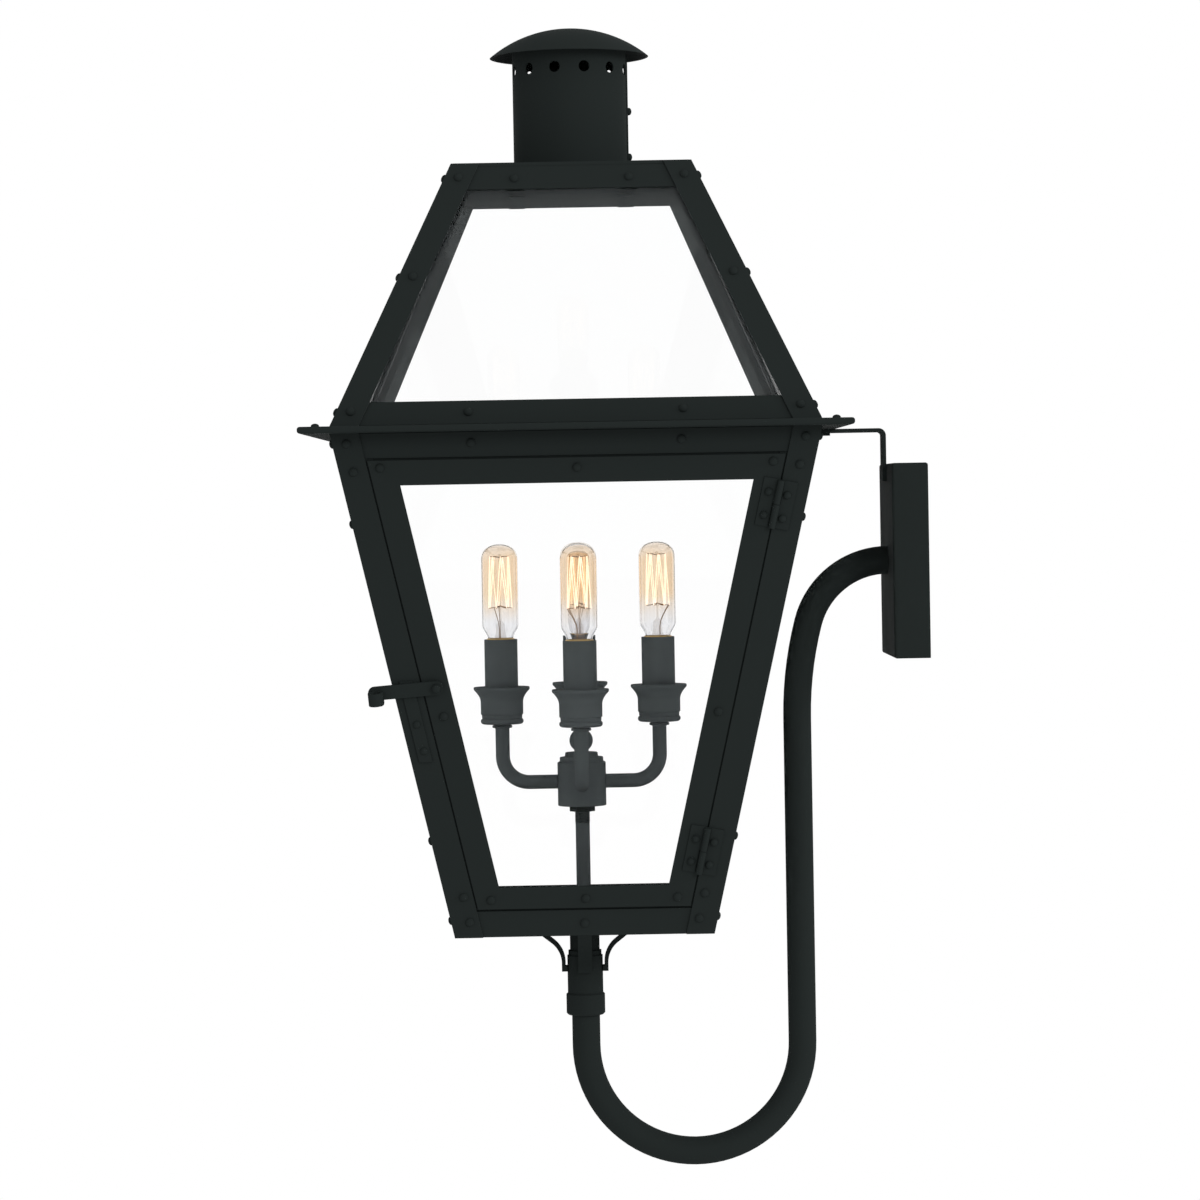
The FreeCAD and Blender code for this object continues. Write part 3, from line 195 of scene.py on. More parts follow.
def softened(corners, radius, steps=4):
    """A profile with rounded inner corners: each becomes a quadratic curve between its two runs."""
    corners = np.asarray(corners, dtype=float)
    before, at, after = corners[:-2], corners[1:-1], corners[2:]
    back, ahead = before - at, after - at
    back_length = np.linalg.norm(back, axis=1, keepdims=True)
    ahead_length = np.linalg.norm(ahead, axis=1, keepdims=True)
    cut = np.minimum(radius, 0.45 * np.minimum(back_length, ahead_length))
    p0, p2 = at + back / back_length * cut, at + ahead / ahead_length * cut
    t = np.linspace(0, 1, steps)[None, :, None]
    curve = (1 - t) ** 2 * p0[:, None] + 2 * t * (1 - t) * at[:, None] + t ** 2 * p2[:, None]
    return np.concatenate((corners[:1], curve.reshape(-1, 2), corners[-1:]))


def swept_wires(paths, radius, sides, across):
    """Round wires along paths: each point p becomes a ring p + radius (n cos a + b sin a).

    n and b stand square to the path's own direction, n also square to the given across vectors.
    """
    paths = np.asarray(paths, dtype=float)
    ahead = np.gradient(paths, axis=1)
    ahead /= np.linalg.norm(ahead, axis=-1, keepdims=True)
    n = np.cross(ahead, np.broadcast_to(across, paths.shape))
    n /= np.linalg.norm(n, axis=-1, keepdims=True)
    b = np.cross(ahead, n)
    angle = np.arange(sides) * FULL_TURN / sides
    rings = paths[..., None, :] + radius * (
        n[..., None, :] * np.cos(angle)[:, None] + b[..., None, :] * np.sin(angle)[:, None])
    caps = [np.repeat(paths[:, end, None, None, :], sides, axis=2) for end in (0, -1)]
    rings = np.concatenate((caps[0], rings, caps[1]), axis=1)
    faces = grid_faces(rings.shape[1], sides, wrap_columns=True)
    return rings, many_faces(faces, len(paths), rings.shape[1] * sides)


def rivet_heads(spots, normals, diameter, height, sides=14, rings=5):
    """Domes on a surface: radius R cos t, rise H (e + (1 - e) sin t), from a sunk skirt to the pole."""
    skirt, edge = -0.25, 0.18
    t = np.linspace(0, math.pi / 2, rings)
    radius = np.concatenate(([0, 1], np.cos(t))) * diameter / 2
    rise = np.concatenate(([skirt, skirt], edge + (1 - edge) * np.sin(t))) * height
    helper = np.where(np.abs(normals[:, 2:]) < 0.8, np.array((0.0, 0.0, 1.0)), np.array((1.0, 0.0, 0.0)))
    u = np.cross(helper, normals)
    u /= np.linalg.norm(u, axis=1, keepdims=True)
    v = np.cross(normals, u)
    angle = np.arange(sides) * FULL_TURN / sides
    wheel = u[:, None] * np.cos(angle)[:, None] + v[:, None] * np.sin(angle)[:, None]
    points = (spots[:, None, None] + radius[:, None, None] * wheel[:, None]
              + rise[:, None, None] * normals[:, None, None])
    faces = grid_faces(len(radius), sides, wrap_columns=True)
    return points, many_faces(faces, len(spots), len(radius) * sides)


# Shader groups and materials

def new_group(name, inputs, outputs):
    """An empty shader group with named sockets, given as (name, kind, default)."""
    group = bpy.data.node_groups.new(name, "ShaderNodeTree")
    for label, kind, default in inputs:
        socket = group.interface.new_socket(label, in_out="INPUT", socket_type=kind)
        socket.default_value = default
    for label, kind in outputs:
        group.interface.new_socket(label, in_out="OUTPUT", socket_type=kind)
    return group, group.nodes.new("NodeGroupInput"), group.nodes.new("NodeGroupOutput")


def noise(tree, scale, detail, place):
    node = tree.nodes.new("ShaderNodeTexNoise")
    node.inputs["Scale"].default_value = scale
    node.inputs["Detail"].default_value = detail
    tree.links.new(place, node.inputs["Vector"])
    return node


def spread(tree, value, low, high, to_low, to_high):
    """A value moved from one range to another."""
    node = tree.nodes.new("ShaderNodeMapRange")
    for label, number in zip(("From Min", "From Max", "To Min", "To Max"), (low, high, to_low, to_high)):
        node.inputs[label].default_value = number
    tree.links.new(value, node.inputs["Value"])
    return node.outputs["Result"]


def blend_colours(tree, factor, first, second):
    """A colour between two, each a socket or a plain colour."""
    node = tree.nodes.new("ShaderNodeMix")
    node.data_type = "RGBA"
    for index, colour in ((6, first), (7, second)):
        if isinstance(colour, bpy.types.NodeSocket):
            tree.links.new(colour, node.inputs[index])
        else:
            node.inputs[index].default_value = (*colour, 1)
    tree.links.new(factor, node.inputs[0])
    return node.outputs[2]


def coat_group():
    """Powder coat: painted light on faces that look at the axis, which take the lighter Inside colour; mottled,
    orange-peeled, dusty on upper faces.
    """
    group, start, end = new_group(
        "powder_coat",
        [("Paint", "NodeSocketColor", (0.01, 0.01, 0.01, 1)),
         ("Inside", "NodeSocketColor", (0.02, 0.02, 0.02, 1)),
         ("Worn", "NodeSocketColor", (0.03, 0.03, 0.03, 1)),
         ("Dust", "NodeSocketFloat", 0.25)],
        [("Color", "NodeSocketColor"), ("Roughness", "NodeSocketFloat"), ("Height", "NodeSocketFloat")])
    where = group.nodes.new("ShaderNodeTexCoord")
    place = where.outputs["Object"]
    inward = group.nodes.new("ShaderNodeVectorMath")
    inward.operation = "MULTIPLY_ADD"
    group.links.new(place, inward.inputs[0])
    inward.inputs[1].default_value = (-1, -1, 0)
    inward.inputs[2].default_value = AXIS
    level = group.nodes.new("ShaderNodeVectorMath")
    level.operation = "NORMALIZE"
    group.links.new(inward.outputs["Vector"], level.inputs[0])
    facing_axis = group.nodes.new("ShaderNodeVectorMath")
    facing_axis.operation = "DOT_PRODUCT"
    group.links.new(level.outputs["Vector"], facing_axis.inputs[0])
    group.links.new(where.outputs["Normal"], facing_axis.inputs[1])
    # Faces that look at the axis take the Inside colour: painted light standing in for light on the inner faces.
    painted_light_inside_mask = spread(group, facing_axis.outputs["Value"], 0.2, 0.6, 0.0, 1.0)
    coat = blend_colours(group, painted_light_inside_mask, start.outputs["Paint"], start.outputs["Inside"])
    cloud = noise(group, 22.0, 4.0, place).outputs["Fac"]
    peel = noise(group, 900.0, 2.0, place).outputs["Fac"]
    facing = group.nodes.new("ShaderNodeSeparateXYZ")
    group.links.new(group.nodes.new("ShaderNodeNewGeometry").outputs["Normal"], facing.inputs[0])
    settled = spread(group, facing.outputs["Z"], 0.2, 1.0, 0.0, 1.0)
    speck = spread(group, noise(group, 160.0, 6.0, place).outputs["Fac"], 0.45, 0.75, 0.0, 1.0)
    dusty = group.nodes.new("ShaderNodeMath")
    dusty.operation = "MULTIPLY"
    group.links.new(settled, dusty.inputs[0])
    group.links.new(start.outputs["Dust"], dusty.inputs[1])
    powder = group.nodes.new("ShaderNodeMath")
    powder.operation = "MULTIPLY_ADD"
    group.links.new(dusty.outputs[0], powder.inputs[0])
    group.links.new(speck, powder.inputs[1])
    group.links.new(spread(group, cloud, 0.35, 0.7, 0.0, 0.12), powder.inputs[2])
    colour = blend_colours(group, powder.outputs[0], coat, start.outputs["Worn"])
    group.links.new(colour, end.inputs["Color"])
    group.links.new(spread(group, cloud, 0.3, 0.7, 0.74, 0.84), end.inputs["Roughness"])
    group.links.new(peel, end.inputs["Height"])
    return group


def tint_group():
    """Tint of a bulb: clear below one height, full above another, paler over the crown, wavering."""
    group, start, end = new_group(
        "bulb_tint",
        [("Amber", "NodeSocketColor", (1, 0.8, 0.5, 1)), ("Clear", "NodeSocketColor", (1, 1, 1, 1)),
         ("From", "NodeSocketFloat", 0.0), ("To", "NodeSocketFloat", 0.02),
         ("Crown", "NodeSocketFloat", 10.0)],
        [("Color", "NodeSocketColor")])
    place = group.nodes.new("ShaderNodeTexCoord").outputs["Object"]
    height = group.nodes.new("ShaderNodeSeparateXYZ")
    group.links.new(place, height.inputs[0])
    waver = spread(group, noise(group, 60.0, 2.0, place).outputs["Fac"], 0.3, 0.7, -0.003, 0.003)
    lifted = group.nodes.new("ShaderNodeMath")
    group.links.new(height.outputs["Z"], lifted.inputs[0])
    group.links.new(waver, lifted.inputs[1])
    ramp = group.nodes.new("ShaderNodeMapRange")
    ramp.interpolation_type = "SMOOTHSTEP"
    group.links.new(lifted.outputs[0], ramp.inputs["Value"])
    group.links.new(start.outputs["From"], ramp.inputs["From Min"])
    group.links.new(start.outputs["To"], ramp.inputs["From Max"])
    above = group.nodes.new("ShaderNodeMath")
    above.operation = "SUBTRACT"
    group.links.new(lifted.outputs[0], above.inputs[0])
    group.links.new(start.outputs["Crown"], above.inputs[1])
    stained = group.nodes.new("ShaderNodeMath")
    stained.operation = "MULTIPLY"
    group.links.new(ramp.outputs["Result"], stained.inputs[0])
    group.links.new(spread(group, above.outputs[0], 0.0, 12 * MM, 1.0, 0.5), stained.inputs[1])
    colour = blend_colours(group, stained.outputs[0], start.outputs["Clear"], start.outputs["Amber"])
    group.links.new(colour, end.inputs["Color"])
    return group


def grain_group():
    """Fine brushed or moulded grain: a shade between two, a roughness and a height from stretched noise."""
    group, start, end = new_group(
        "fine_grain",
        [("Light", "NodeSocketColor", (0.6, 0.6, 0.6, 1)), ("Dark", "NodeSocketColor", (0.4, 0.4, 0.4, 1)),
         ("Smooth", "NodeSocketFloat", 0.25), ("Rough", "NodeSocketFloat", 0.45)],
        [("Color", "NodeSocketColor"), ("Roughness", "NodeSocketFloat"), ("Height", "NodeSocketFloat")])
    mapping = group.nodes.new("ShaderNodeMapping")
    mapping.inputs["Scale"].default_value = (1, 1, 12)
    group.links.new(group.nodes.new("ShaderNodeTexCoord").outputs["Object"], mapping.inputs["Vector"])
    streak = noise(group, 240.0, 5.0, mapping.outputs["Vector"]).outputs["Fac"]
    colour = blend_colours(group, streak, start.outputs["Dark"], start.outputs["Light"])
    group.links.new(colour, end.inputs["Color"])
    rough = group.nodes.new("ShaderNodeMapRange")
    group.links.new(streak, rough.inputs["Value"])
    group.links.new(start.outputs["Smooth"], rough.inputs["To Min"])
    group.links.new(start.outputs["Rough"], rough.inputs["To Max"])
    group.links.new(rough.outputs["Result"], end.inputs["Roughness"])
    group.links.new(streak, end.inputs["Height"])
    return group


def new_material(name, **plain):
    """A material whose Principled sockets hold the given plain values, as its node tree and shader."""
    material = bpy.data.materials.new(name)
    material.use_nodes = True
    shader = material.node_tree.nodes["Principled BSDF"]
    for label, value in plain.items():
        shader.inputs[label.replace("_", " ")].default_value = value
    return material.node_tree, shader


def place_group(tree, shader, group, colour_to="Base Color", bump=0.0, distance=0.0005, **values):
    """A shader group wired to the Principled BSDF: colour, roughness, and height through a bump."""
    node = tree.nodes.new("ShaderNodeGroup")
    node.node_tree = group
    for label, value in values.items():
        node.inputs[label].default_value = value
    tree.links.new(node.outputs["Color"], shader.inputs[colour_to])
    if "Roughness" in node.outputs:
        tree.links.new(node.outputs["Roughness"], shader.inputs["Roughness"])
    if bump:
        relief = tree.nodes.new("ShaderNodeBump")
        relief.inputs["Strength"].default_value = bump
        relief.inputs["Distance"].default_value = distance
        tree.links.new(node.outputs["Height"], relief.inputs["Height"])
        tree.links.new(relief.outputs["Normal"], shader.inputs["Normal"])


def rgba(colour):
    return (*colour[:3], 1)


def make_materials(finish):
    """Every finish of the lantern, as a material of that name."""
    coat, grain, tint = coat_group(), grain_group(), tint_group()
    # Copies of the one black paint: the cage and roof copies have painted light on their inner faces, the
    # inner-parts copy is lighter all over as painted light.
    for name, paint, inside, dust in (
            ("iron_paint", finish.paint, finish.paint, 0.16),
            ("cage_paint_painted_light", finish.paint, finish.inside, 0.16),
            ("roof_paint_painted_light", finish.paint, finish.roof_inside_painted_light, 0.16),
            ("inner_paint_painted_light", finish.inner_painted_light, finish.inner_painted_light, 0.05)):
        tree, shader = new_material(name, Specular_IOR_Level=finish.paint_gloss)
        place_group(tree, shader, coat, bump=0.12, distance=0.0002,
                    Paint=rgba(paint), Inside=rgba(inside), Worn=rgba(finish.worn), Dust=dust)
    for name, index in (("clear_sheet", finish.sheet_index), ("roof_sheet", finish.roof_index)):
        tree, shader = new_material(
            name, Roughness=0.0, IOR=index, Transmission_Weight=1.0, Specular_Tint=(0.92, 1, 1, 1))
        place_group(tree, shader, tint, Amber=(0.996, 0.998, 0.998, 1), Clear=(1, 1, 1, 1),
                    From=-0.3, To=0.3)
    sleeve_top = node_span("candle_sleeves")[1][2]
    tree, shader = new_material("amber_bulb", Roughness=0.0, IOR=1.45, Transmission_Weight=1.0)
    place_group(tree, shader, tint, Amber=rgba(finish.amber), Clear=(0.93, 0.93, 0.94, 1),
                From=sleeve_top + 8 * MM, To=sleeve_top + 34 * MM, Crown=sleeve_top + 54 * MM)
    # See-through by alpha: two stems, two bulbs and two panes refract more often than a renderer follows.
    tree, shader = new_material("stem_glass", Roughness=0.1, IOR=1.45, Alpha=0.16)
    place_group(tree, shader, tint, Amber=(1, 0.66, 0.24, 1), Clear=(0.86, 0.62, 0.48, 1),
                From=sleeve_top + 12 * MM, To=sleeve_top + 24 * MM)
    tree, shader = new_material(
        "lit_filament", Base_Color=(0.02, 0.015, 0.01, 1), Emission_Strength=finish.glow_strength)
    place_group(tree, shader, grain, colour_to="Emission Color",
                Light=rgba(finish.glow), Dark=rgba(finish.ember))
    for name, bump, light, dark, smooth, rough in (
            ("support_wire", 0.0, (0.44, 0.26, 0.10), (0.22, 0.12, 0.045), 0.3, 0.5),
            ("bulb_brass", 0.1, (0.66, 0.46, 0.19), (0.5, 0.33, 0.12), 0.28, 0.42),
            ("zinc_plate", 0.1, (0.40, 0.41, 0.42), (0.29, 0.30, 0.31), 0.3, 0.48)):
        tree, shader = new_material(name, Metallic=1.0)
        place_group(tree, shader, grain, bump=bump, Light=rgba(light), Dark=rgba(dark),
                    Smooth=smooth, Rough=rough)
    tree, shader = new_material("moulded_holder", Specular_IOR_Level=0.3)
    place_group(tree, shader, grain, bump=0.05, Light=(0.03, 0.03, 0.03, 1), Dark=(0.02, 0.02, 0.02, 1),
                Smooth=0.45, Rough=0.6)


SLOT_FINISH = {
    "black_iron": "iron_paint", "candle_black": "inner_paint_painted_light", "clear_glass": "clear_sheet",
    "bulb_glass": "amber_bulb", "brass_base": "bulb_brass", "holder_plastic": "moulded_holder",
    "zinc_steel": "zinc_plate",
}
ROOF_FINISH = {"iron_paint": "roof_paint_painted_light", "clear_sheet": "roof_sheet"}
# Pieces inside the glass, which take the lighter copy of the paint as painted light.
INNER_NODES = ("cluster_stem", "cluster_hub", "hub_finial", "candle_arms", "candle_cups")


class LanternSizes(bpy.types.PropertyGroup):
    """Sizes of the small pieces that a maker would change."""
    rivet_width: FloatProperty(
        name="Rivet Width", description="Diameter of a rivet head", default=5.8 * MM, unit="LENGTH")
    rivet_height: FloatProperty(
        name="Rivet Height", description="Height of a rivet head", default=2.2 * MM, unit="LENGTH")
    seam_lap: FloatProperty(
        name="Seam Lap", description="Width of the chimney's lapped seam", default=9 * MM, unit="LENGTH")
    wire_width: FloatProperty(
        name="Filament Width", description="Diameter of the filament", default=0.7 * MM, unit="LENGTH")
    strand_pairs: IntProperty(
        name="Strand Pairs", description="Pairs of filament strands in a bulb", default=7, min=2)


class LanternFinish(bpy.types.PropertyGroup):
    """Colours and gloss of the lantern's finishes."""
    paint: FloatVectorProperty(
        name="Paint", description="Colour of the powder coat",
        subtype="COLOR", default=(0.0186, 0.0231, 0.0223), min=0, max=1)
    # Painted light: the black coat of the candles, cups, hub and arms inside the glass, given as a far lighter grey
    # to stand in for light.
    inner_painted_light: FloatVectorProperty(
        name="Inner Painted Light", description="Colour of the coat on the candles and their arms",
        subtype="COLOR", default=(0.0880, 0.0998, 0.1030), min=0, max=1)
    # Painted light: a lighter coat on the cage's inner faces, standing in for light inside the lantern.
    inside: FloatVectorProperty(
        name="Painted Light Inside", description="Colour of the coat on the cage's inner faces",
        subtype="COLOR", default=(0.0480, 0.0540, 0.0555), min=0, max=1)
    # Painted light: a lighter coat on the roof's inner faces, standing in for light under the roof.
    roof_inside_painted_light: FloatVectorProperty(
        name="Roof Inside", description="Colour of the coat on the roof's inner faces",
        subtype="COLOR", default=(0.0880, 0.0960, 0.0980), min=0, max=1)
    worn: FloatVectorProperty(
        name="Dusty Paint", description="Colour of the coat under dust",
        subtype="COLOR", default=(0.0220, 0.0265, 0.0255), min=0, max=1)
    paint_gloss: FloatProperty(
        name="Paint Gloss", description="Specular level of the coat", default=0.02, min=0, max=1)
    sheet_index: FloatProperty(
        name="Pane Index", description="Refractive index of the cage's panes", default=1.14, min=1)
    roof_index: FloatProperty(
        name="Roof Index", description="Refractive index of the roof's panes", default=1.25, min=1)
    amber: FloatVectorProperty(
        name="Amber", description="Tint of the bulbs",
        subtype="COLOR", default=(0.935, 0.815, 0.675), min=0, max=1)
    glow: FloatVectorProperty(
        name="Glow", description="Colour of the lit filament",
        subtype="COLOR", default=(1.0, 0.95, 0.88), min=0, max=1)
    ember: FloatVectorProperty(
        name="Ember", description="Colour of the filament's cooler runs",
        subtype="COLOR", default=(0.42, 0.26, 0.12), min=0, max=1)
    glow_strength: FloatProperty(
        name="Glow Strength", description="Brightness of the filament", default=2.2, min=0)


class LanternStage(bpy.types.PropertyGroup):
    """Camera and light of the studio."""
    lens: FloatProperty(name="Lens", description="Focal length in millimetres", default=120.72, min=10)
    distance: FloatProperty(
        name="Distance", description="Camera to its target", default=2.7456, unit="LENGTH")
    azimuth: FloatProperty(
        name="Azimuth", description="Camera's turn to the side",
        default=math.radians(-0.41), subtype="ANGLE")
    pitch: FloatProperty(
        name="Pitch", description="Camera's tilt", default=math.radians(-1.37), subtype="ANGLE")
    roll: FloatProperty(
        name="Roll", description="Camera's turn about its own axis",
        default=math.radians(-1.02), subtype="ANGLE")
    ambient: FloatProperty(
        name="Ambient", description="Strength of the surrounding light", default=0.65, min=0)
    drop: FloatProperty(
        name="Floor Drop", description="Floor below the lantern's lowest point",
        default=0.75, unit="LENGTH")


class LANTERN_OT_finish(bpy.types.Operator):
    """Make the finishes and put them on the CAD pieces"""
    bl_idname = "lantern.finish"
    bl_label = "Finish"

    def execute(self, context):
        make_materials(context.scene.lantern_finish)
        slots = {row["node"]: row["material_slot"] for row in frame["record"]["subparts"]}
        for node, piece in frame["nodes"].items():
            finish = SLOT_FINISH[slots[node]]
            # Pieces inside the glass and the inner faces of roof and cage take lighter copies of the paint: painted
            # light.
            if node in INNER_NODES:
                finish = "inner_paint_painted_light"
            elif node.startswith("roof_"):
                finish = ROOF_FINISH[finish]
            elif finish == "iron_paint" and node.startswith(("cage_", "door_")):
                finish = "cage_paint_painted_light"
            piece.data.materials.clear()
            piece.data.materials.append(bpy.data.materials[finish])
        return {"FINISHED"}


class LANTERN_OT_rivets(bpy.types.Operator):
    """Rivet the posts, rails, eave, keeper, hinges and door"""
    bl_idname = "lantern.rivets"
    bl_label = "Rivets"

    POST_INSET = 9.4 * MM
    FOOT_INSET = 12.4 * MM
    POST_LEG = 18.7 * MM
    LEAF = 1.0 * MM
    KEEPER = 1.2 * MM

    def cage_rows(self):
        """Rivets of the cage and roof on all four sides, as points and normals."""
        rows = []
        every_side = np.arange(4)
        for height in (347.5, 436.0, 502.3):
            z = CAGE_FOOT + height * MM
            rows.append((ROOF, ROOF.half(z) - self.POST_INSET, z, every_side))
        rows.append((ROOF, 37.8 * MM, CAGE_FOOT + 501.8 * MM, every_side))
        rows.append((ROOF, 69.2 * MM, CAGE_FOOT + 346.8 * MM, every_side))
        rows.append((CAGE, 67.7 * MM, CAGE_FOOT + 326.2 * MM, every_side))
        for height, inset, sides in (
                (327.0, self.POST_INSET, every_side), (10.5, self.FOOT_INSET, every_side),
                (308.9, self.POST_INSET, every_side[:1]), (27.5, self.FOOT_INSET, every_side[:1]),
                (275.0, self.POST_INSET, every_side[1:]), (65.0, self.POST_INSET, every_side[1:])):
            z = CAGE_FOOT + height * MM
            rows.append((CAGE, CAGE.half(z) - inset, z, sides))
        spots, normals = [], []
        for wall, across, z, sides in rows:
            for sign in (-1, 1):
                p, n = wall.spots(sign * across, z, sides, self.proud(wall, across, z))
                spots.append(p)
                normals.append(n)
        p, n = CAGE.spots(0.0, CAGE_FOOT + 8.1 * MM, every_side, -SHEET)
        return np.concatenate(spots + [p]), np.concatenate(normals + [n])

    def proud(self, wall, across, z):
        """Rails lie one sheet behind the posts' outer plane."""
        return 0.0 if wall.half(z) - abs(across) < self.POST_LEG else -SHEET

    def eave_corners(self):
        """One rivet near each corner of the eave, on its upper face."""
        low, high = node_span("eave_plate")
        inset = 11 * MM
        x = np.array((low[0] + inset, high[0] - inset))
        y = np.array((low[1] + inset, high[1] - inset))
        spots = np.array([(a, b, high[2]) for a in x for b in y])
        return spots, np.broadcast_to(np.array((0.0, 0.0, 1.0)), spots.shape)

    def door_rows(self):
        """Rivets of the door's rails and stiles."""
        across = np.array((0.2, -126.6, 126.6, -89.8, 89.8, 1.0, -61.6, 61.6)) * MM
        height = np.array((309.6, 311.2, 311.2, 148.6, 148.6, 25.3, 25.2, 25.2)) * MM
        return CAGE.spots(across, CAGE_FOOT + height, 0)

    def hinge_rows(self, sign):
        """Two rivets on each leaf, beside the pin, on its outer face: x = seam + slope * rise + aside."""
        rises, aside = (((-9.1, 6.0), 5.7) if sign > 0 else ((-6.4, 8.6), -6.8))
        spots, normals = [], []
        for hinge in ("upper", "lower"):
            low, high = node_span(f"{hinge}_hinge_pin")
            middle = (low + high) / 2
            rise = np.array(rises) * MM
            seam = middle[0] - AXIS[0] + CAGE.slope * rise
            p, n = CAGE.spots(seam + aside * MM, middle[2] + rise, 0, self.LEAF)
            spots.append(p)
            normals.append(n)
        return np.concatenate(spots), np.concatenate(normals)

    def pivot_head(self):
        """The middle of the latch pivot's outer end: its furthest points along the wall's normal."""
        points = node_points("latch_pivot")
        normal = CAGE.spots(0.0, CAGE.low, 0)[1]
        reach = points @ normal
        end = points[reach > reach.max() - 1e-5]
        return ((end.min(axis=0) + end.max(axis=0)) / 2)[None], normal[None]

    def keeper_rows(self):
        """Two rivets on the latch keeper, one above the other."""
        across, height = np.array((-107.4, -103.1)) * MM, np.array((143.9, 126.2)) * MM
        return CAGE.spots(across, CAGE_FOOT + height, 0, self.KEEPER)

    def execute(self, context):
        sizes = context.scene.lantern_sizes
        width, height = sizes.rivet_width, sizes.rivet_height
        for name, body, (spots, normals), wide, tall in (
                ("cage_rivets", "lantern", self.cage_rows(), 1.0, 1.0),
                ("eave_rivets", "lantern", self.eave_corners(), 0.95, 0.95),
                ("keeper_rivets", "lantern", self.keeper_rows(), 0.85, 0.85),
                ("post_leaf_rivets", "lantern", self.hinge_rows(1), 0.9, 1.25),
                ("door_rivets", "door", self.door_rows(), 1.0, 1.0),
                ("door_leaf_rivets", "door", self.hinge_rows(-1), 0.9, 1.25),
                ("pivot_dome", "door", self.pivot_head(), 0.95, 0.95)):
            points, faces = rivet_heads(spots, normals, width * wide, height * tall)
            skin(name, points, faces, "iron_paint", body)
        return {"FINISHED"}


class LANTERN_OT_latch_roll(bpy.types.Operator):
    """Roll the end of the latch bar into a finger grip"""
    bl_idname = "lantern.latch_roll"
    bl_label = "Latch Roll"

    SAG = math.radians(4.5)

    def execute(self, context):
        """A tube turned about Z, carried onto the bar's axes: x along the bar, y into the wall, z up."""
        normal = CAGE.spots(0.0, CAGE.low, 0)[1]
        level, rise = np.array((1.0, 0.0, 0.0)), np.cross(np.array((1.0, 0.0, 0.0)), -normal)
        along = level * math.cos(self.SAG) + rise * math.sin(self.SAG)
        up = rise * math.cos(self.SAG) - level * math.sin(self.SAG)
        axes = np.stack((along, -normal, up))
        corner = (node_points("latch_bar") @ axes.T).min(axis=0)
        radius, tall = 5.0 * MM, 8.6 * MM
        bore = radius - SHEET
        profile = softened(
            [(bore, 0.0), (radius, 0.0), (radius, tall), (bore, tall), (bore, 0.0)], 0.4 * MM)
        centre = corner + np.array((radius, 1.6 * MM - radius, 1.9 * MM))
        points, faces = turned_profile(profile, centre[None], 40)
        skin("finger_roll", points @ axes, faces, "iron_paint", "latch")
        return {"FINISHED"}


class LANTERN_OT_chimney_seam(bpy.types.Operator):
    """Lap the chimney's seam and rivet it"""
    bl_idname = "lantern.chimney_seam"
    bl_label = "Chimney Seam"

    def execute(self, context):
        sizes = context.scene.lantern_sizes
        low, high = node_span("chimney")
        outer = (high[0] - low[0]) / 2
        top = node_span("chimney_cap")[0][2] + 2 * MM
        # A strip bent on the tube: radius steps out at both edges, angle across, height up, ends closed to a point.
        across = np.array((-1, -1, -0.97, 0.97, 1, 1)) * sizes.seam_lap / 2 / outer
        stand = np.array((-0.2, 0.7, 1.0, 1.0, 0.7, -0.2)) * MM
        height = np.linspace(low[2], top, 9)
        angle, z = np.meshgrid(across, height, indexing="xy")
        radius = outer + np.broadcast_to(stand, angle.shape)
        points = np.stack((radius * np.cos(angle), radius * np.sin(angle), z), -1) + AXIS
        ends = np.broadcast_to(points[[0, -1]].mean(axis=1, keepdims=True), (2, *points.shape[1:]))
        points = np.concatenate((ends[:1], points, ends[1:]))
        faces = grid_faces(len(points), len(across), wrap_columns=True)
        skin("chimney_seam", points, faces, "iron_paint", "lantern")
        self.plate_bead()
        spots = np.array([(outer + 1.0 * MM, 0, CAGE_FOOT + z * MM) for z in (521.0, 552.0)]) + AXIS
        points, faces = rivet_heads(spots, np.broadcast_to(np.array((1.0, 0, 0)), spots.shape),
                                    sizes.rivet_width * 0.9, sizes.rivet_height)
        skin("seam_rivets", points, faces, "iron_paint", "lantern")
        return {"FINISHED"}

    def plate_bead(self):
        """Solder along the top plate's edges: a profile of (half width, height) round four corners."""
        low, high = node_span("roof_top_plate")
        behind = SHEET * math.hypot(1, ROOF.slope)
        rail_top = node_span("roof_rails")[1][2]
        half = (high[0] - low[0]) / 2
        profile = np.array([(ROOF.half(z) - behind, z) for z in (rail_top - 0.4 * MM, high[2] - 0.2 * MM)]
                           + [(half - 0.2 * MM, high[2] + 0.2 * MM), (half - 0.8 * MM, rail_top)])
        corners = np.array(((-1, -1), (1, -1), (1, 1), (-1, 1)))
        across = corners[:, None] * profile[None, :, :1]
        level = np.broadcast_to(profile[None, :, 1:], (*across.shape[:2], 1))
        points = np.concatenate((across, level), axis=-1) + AXIS
        faces = grid_faces(len(corners), len(profile), wrap_rows=True, wrap_columns=True)
        skin("plate_bead", points, faces, "iron_paint", "lantern")


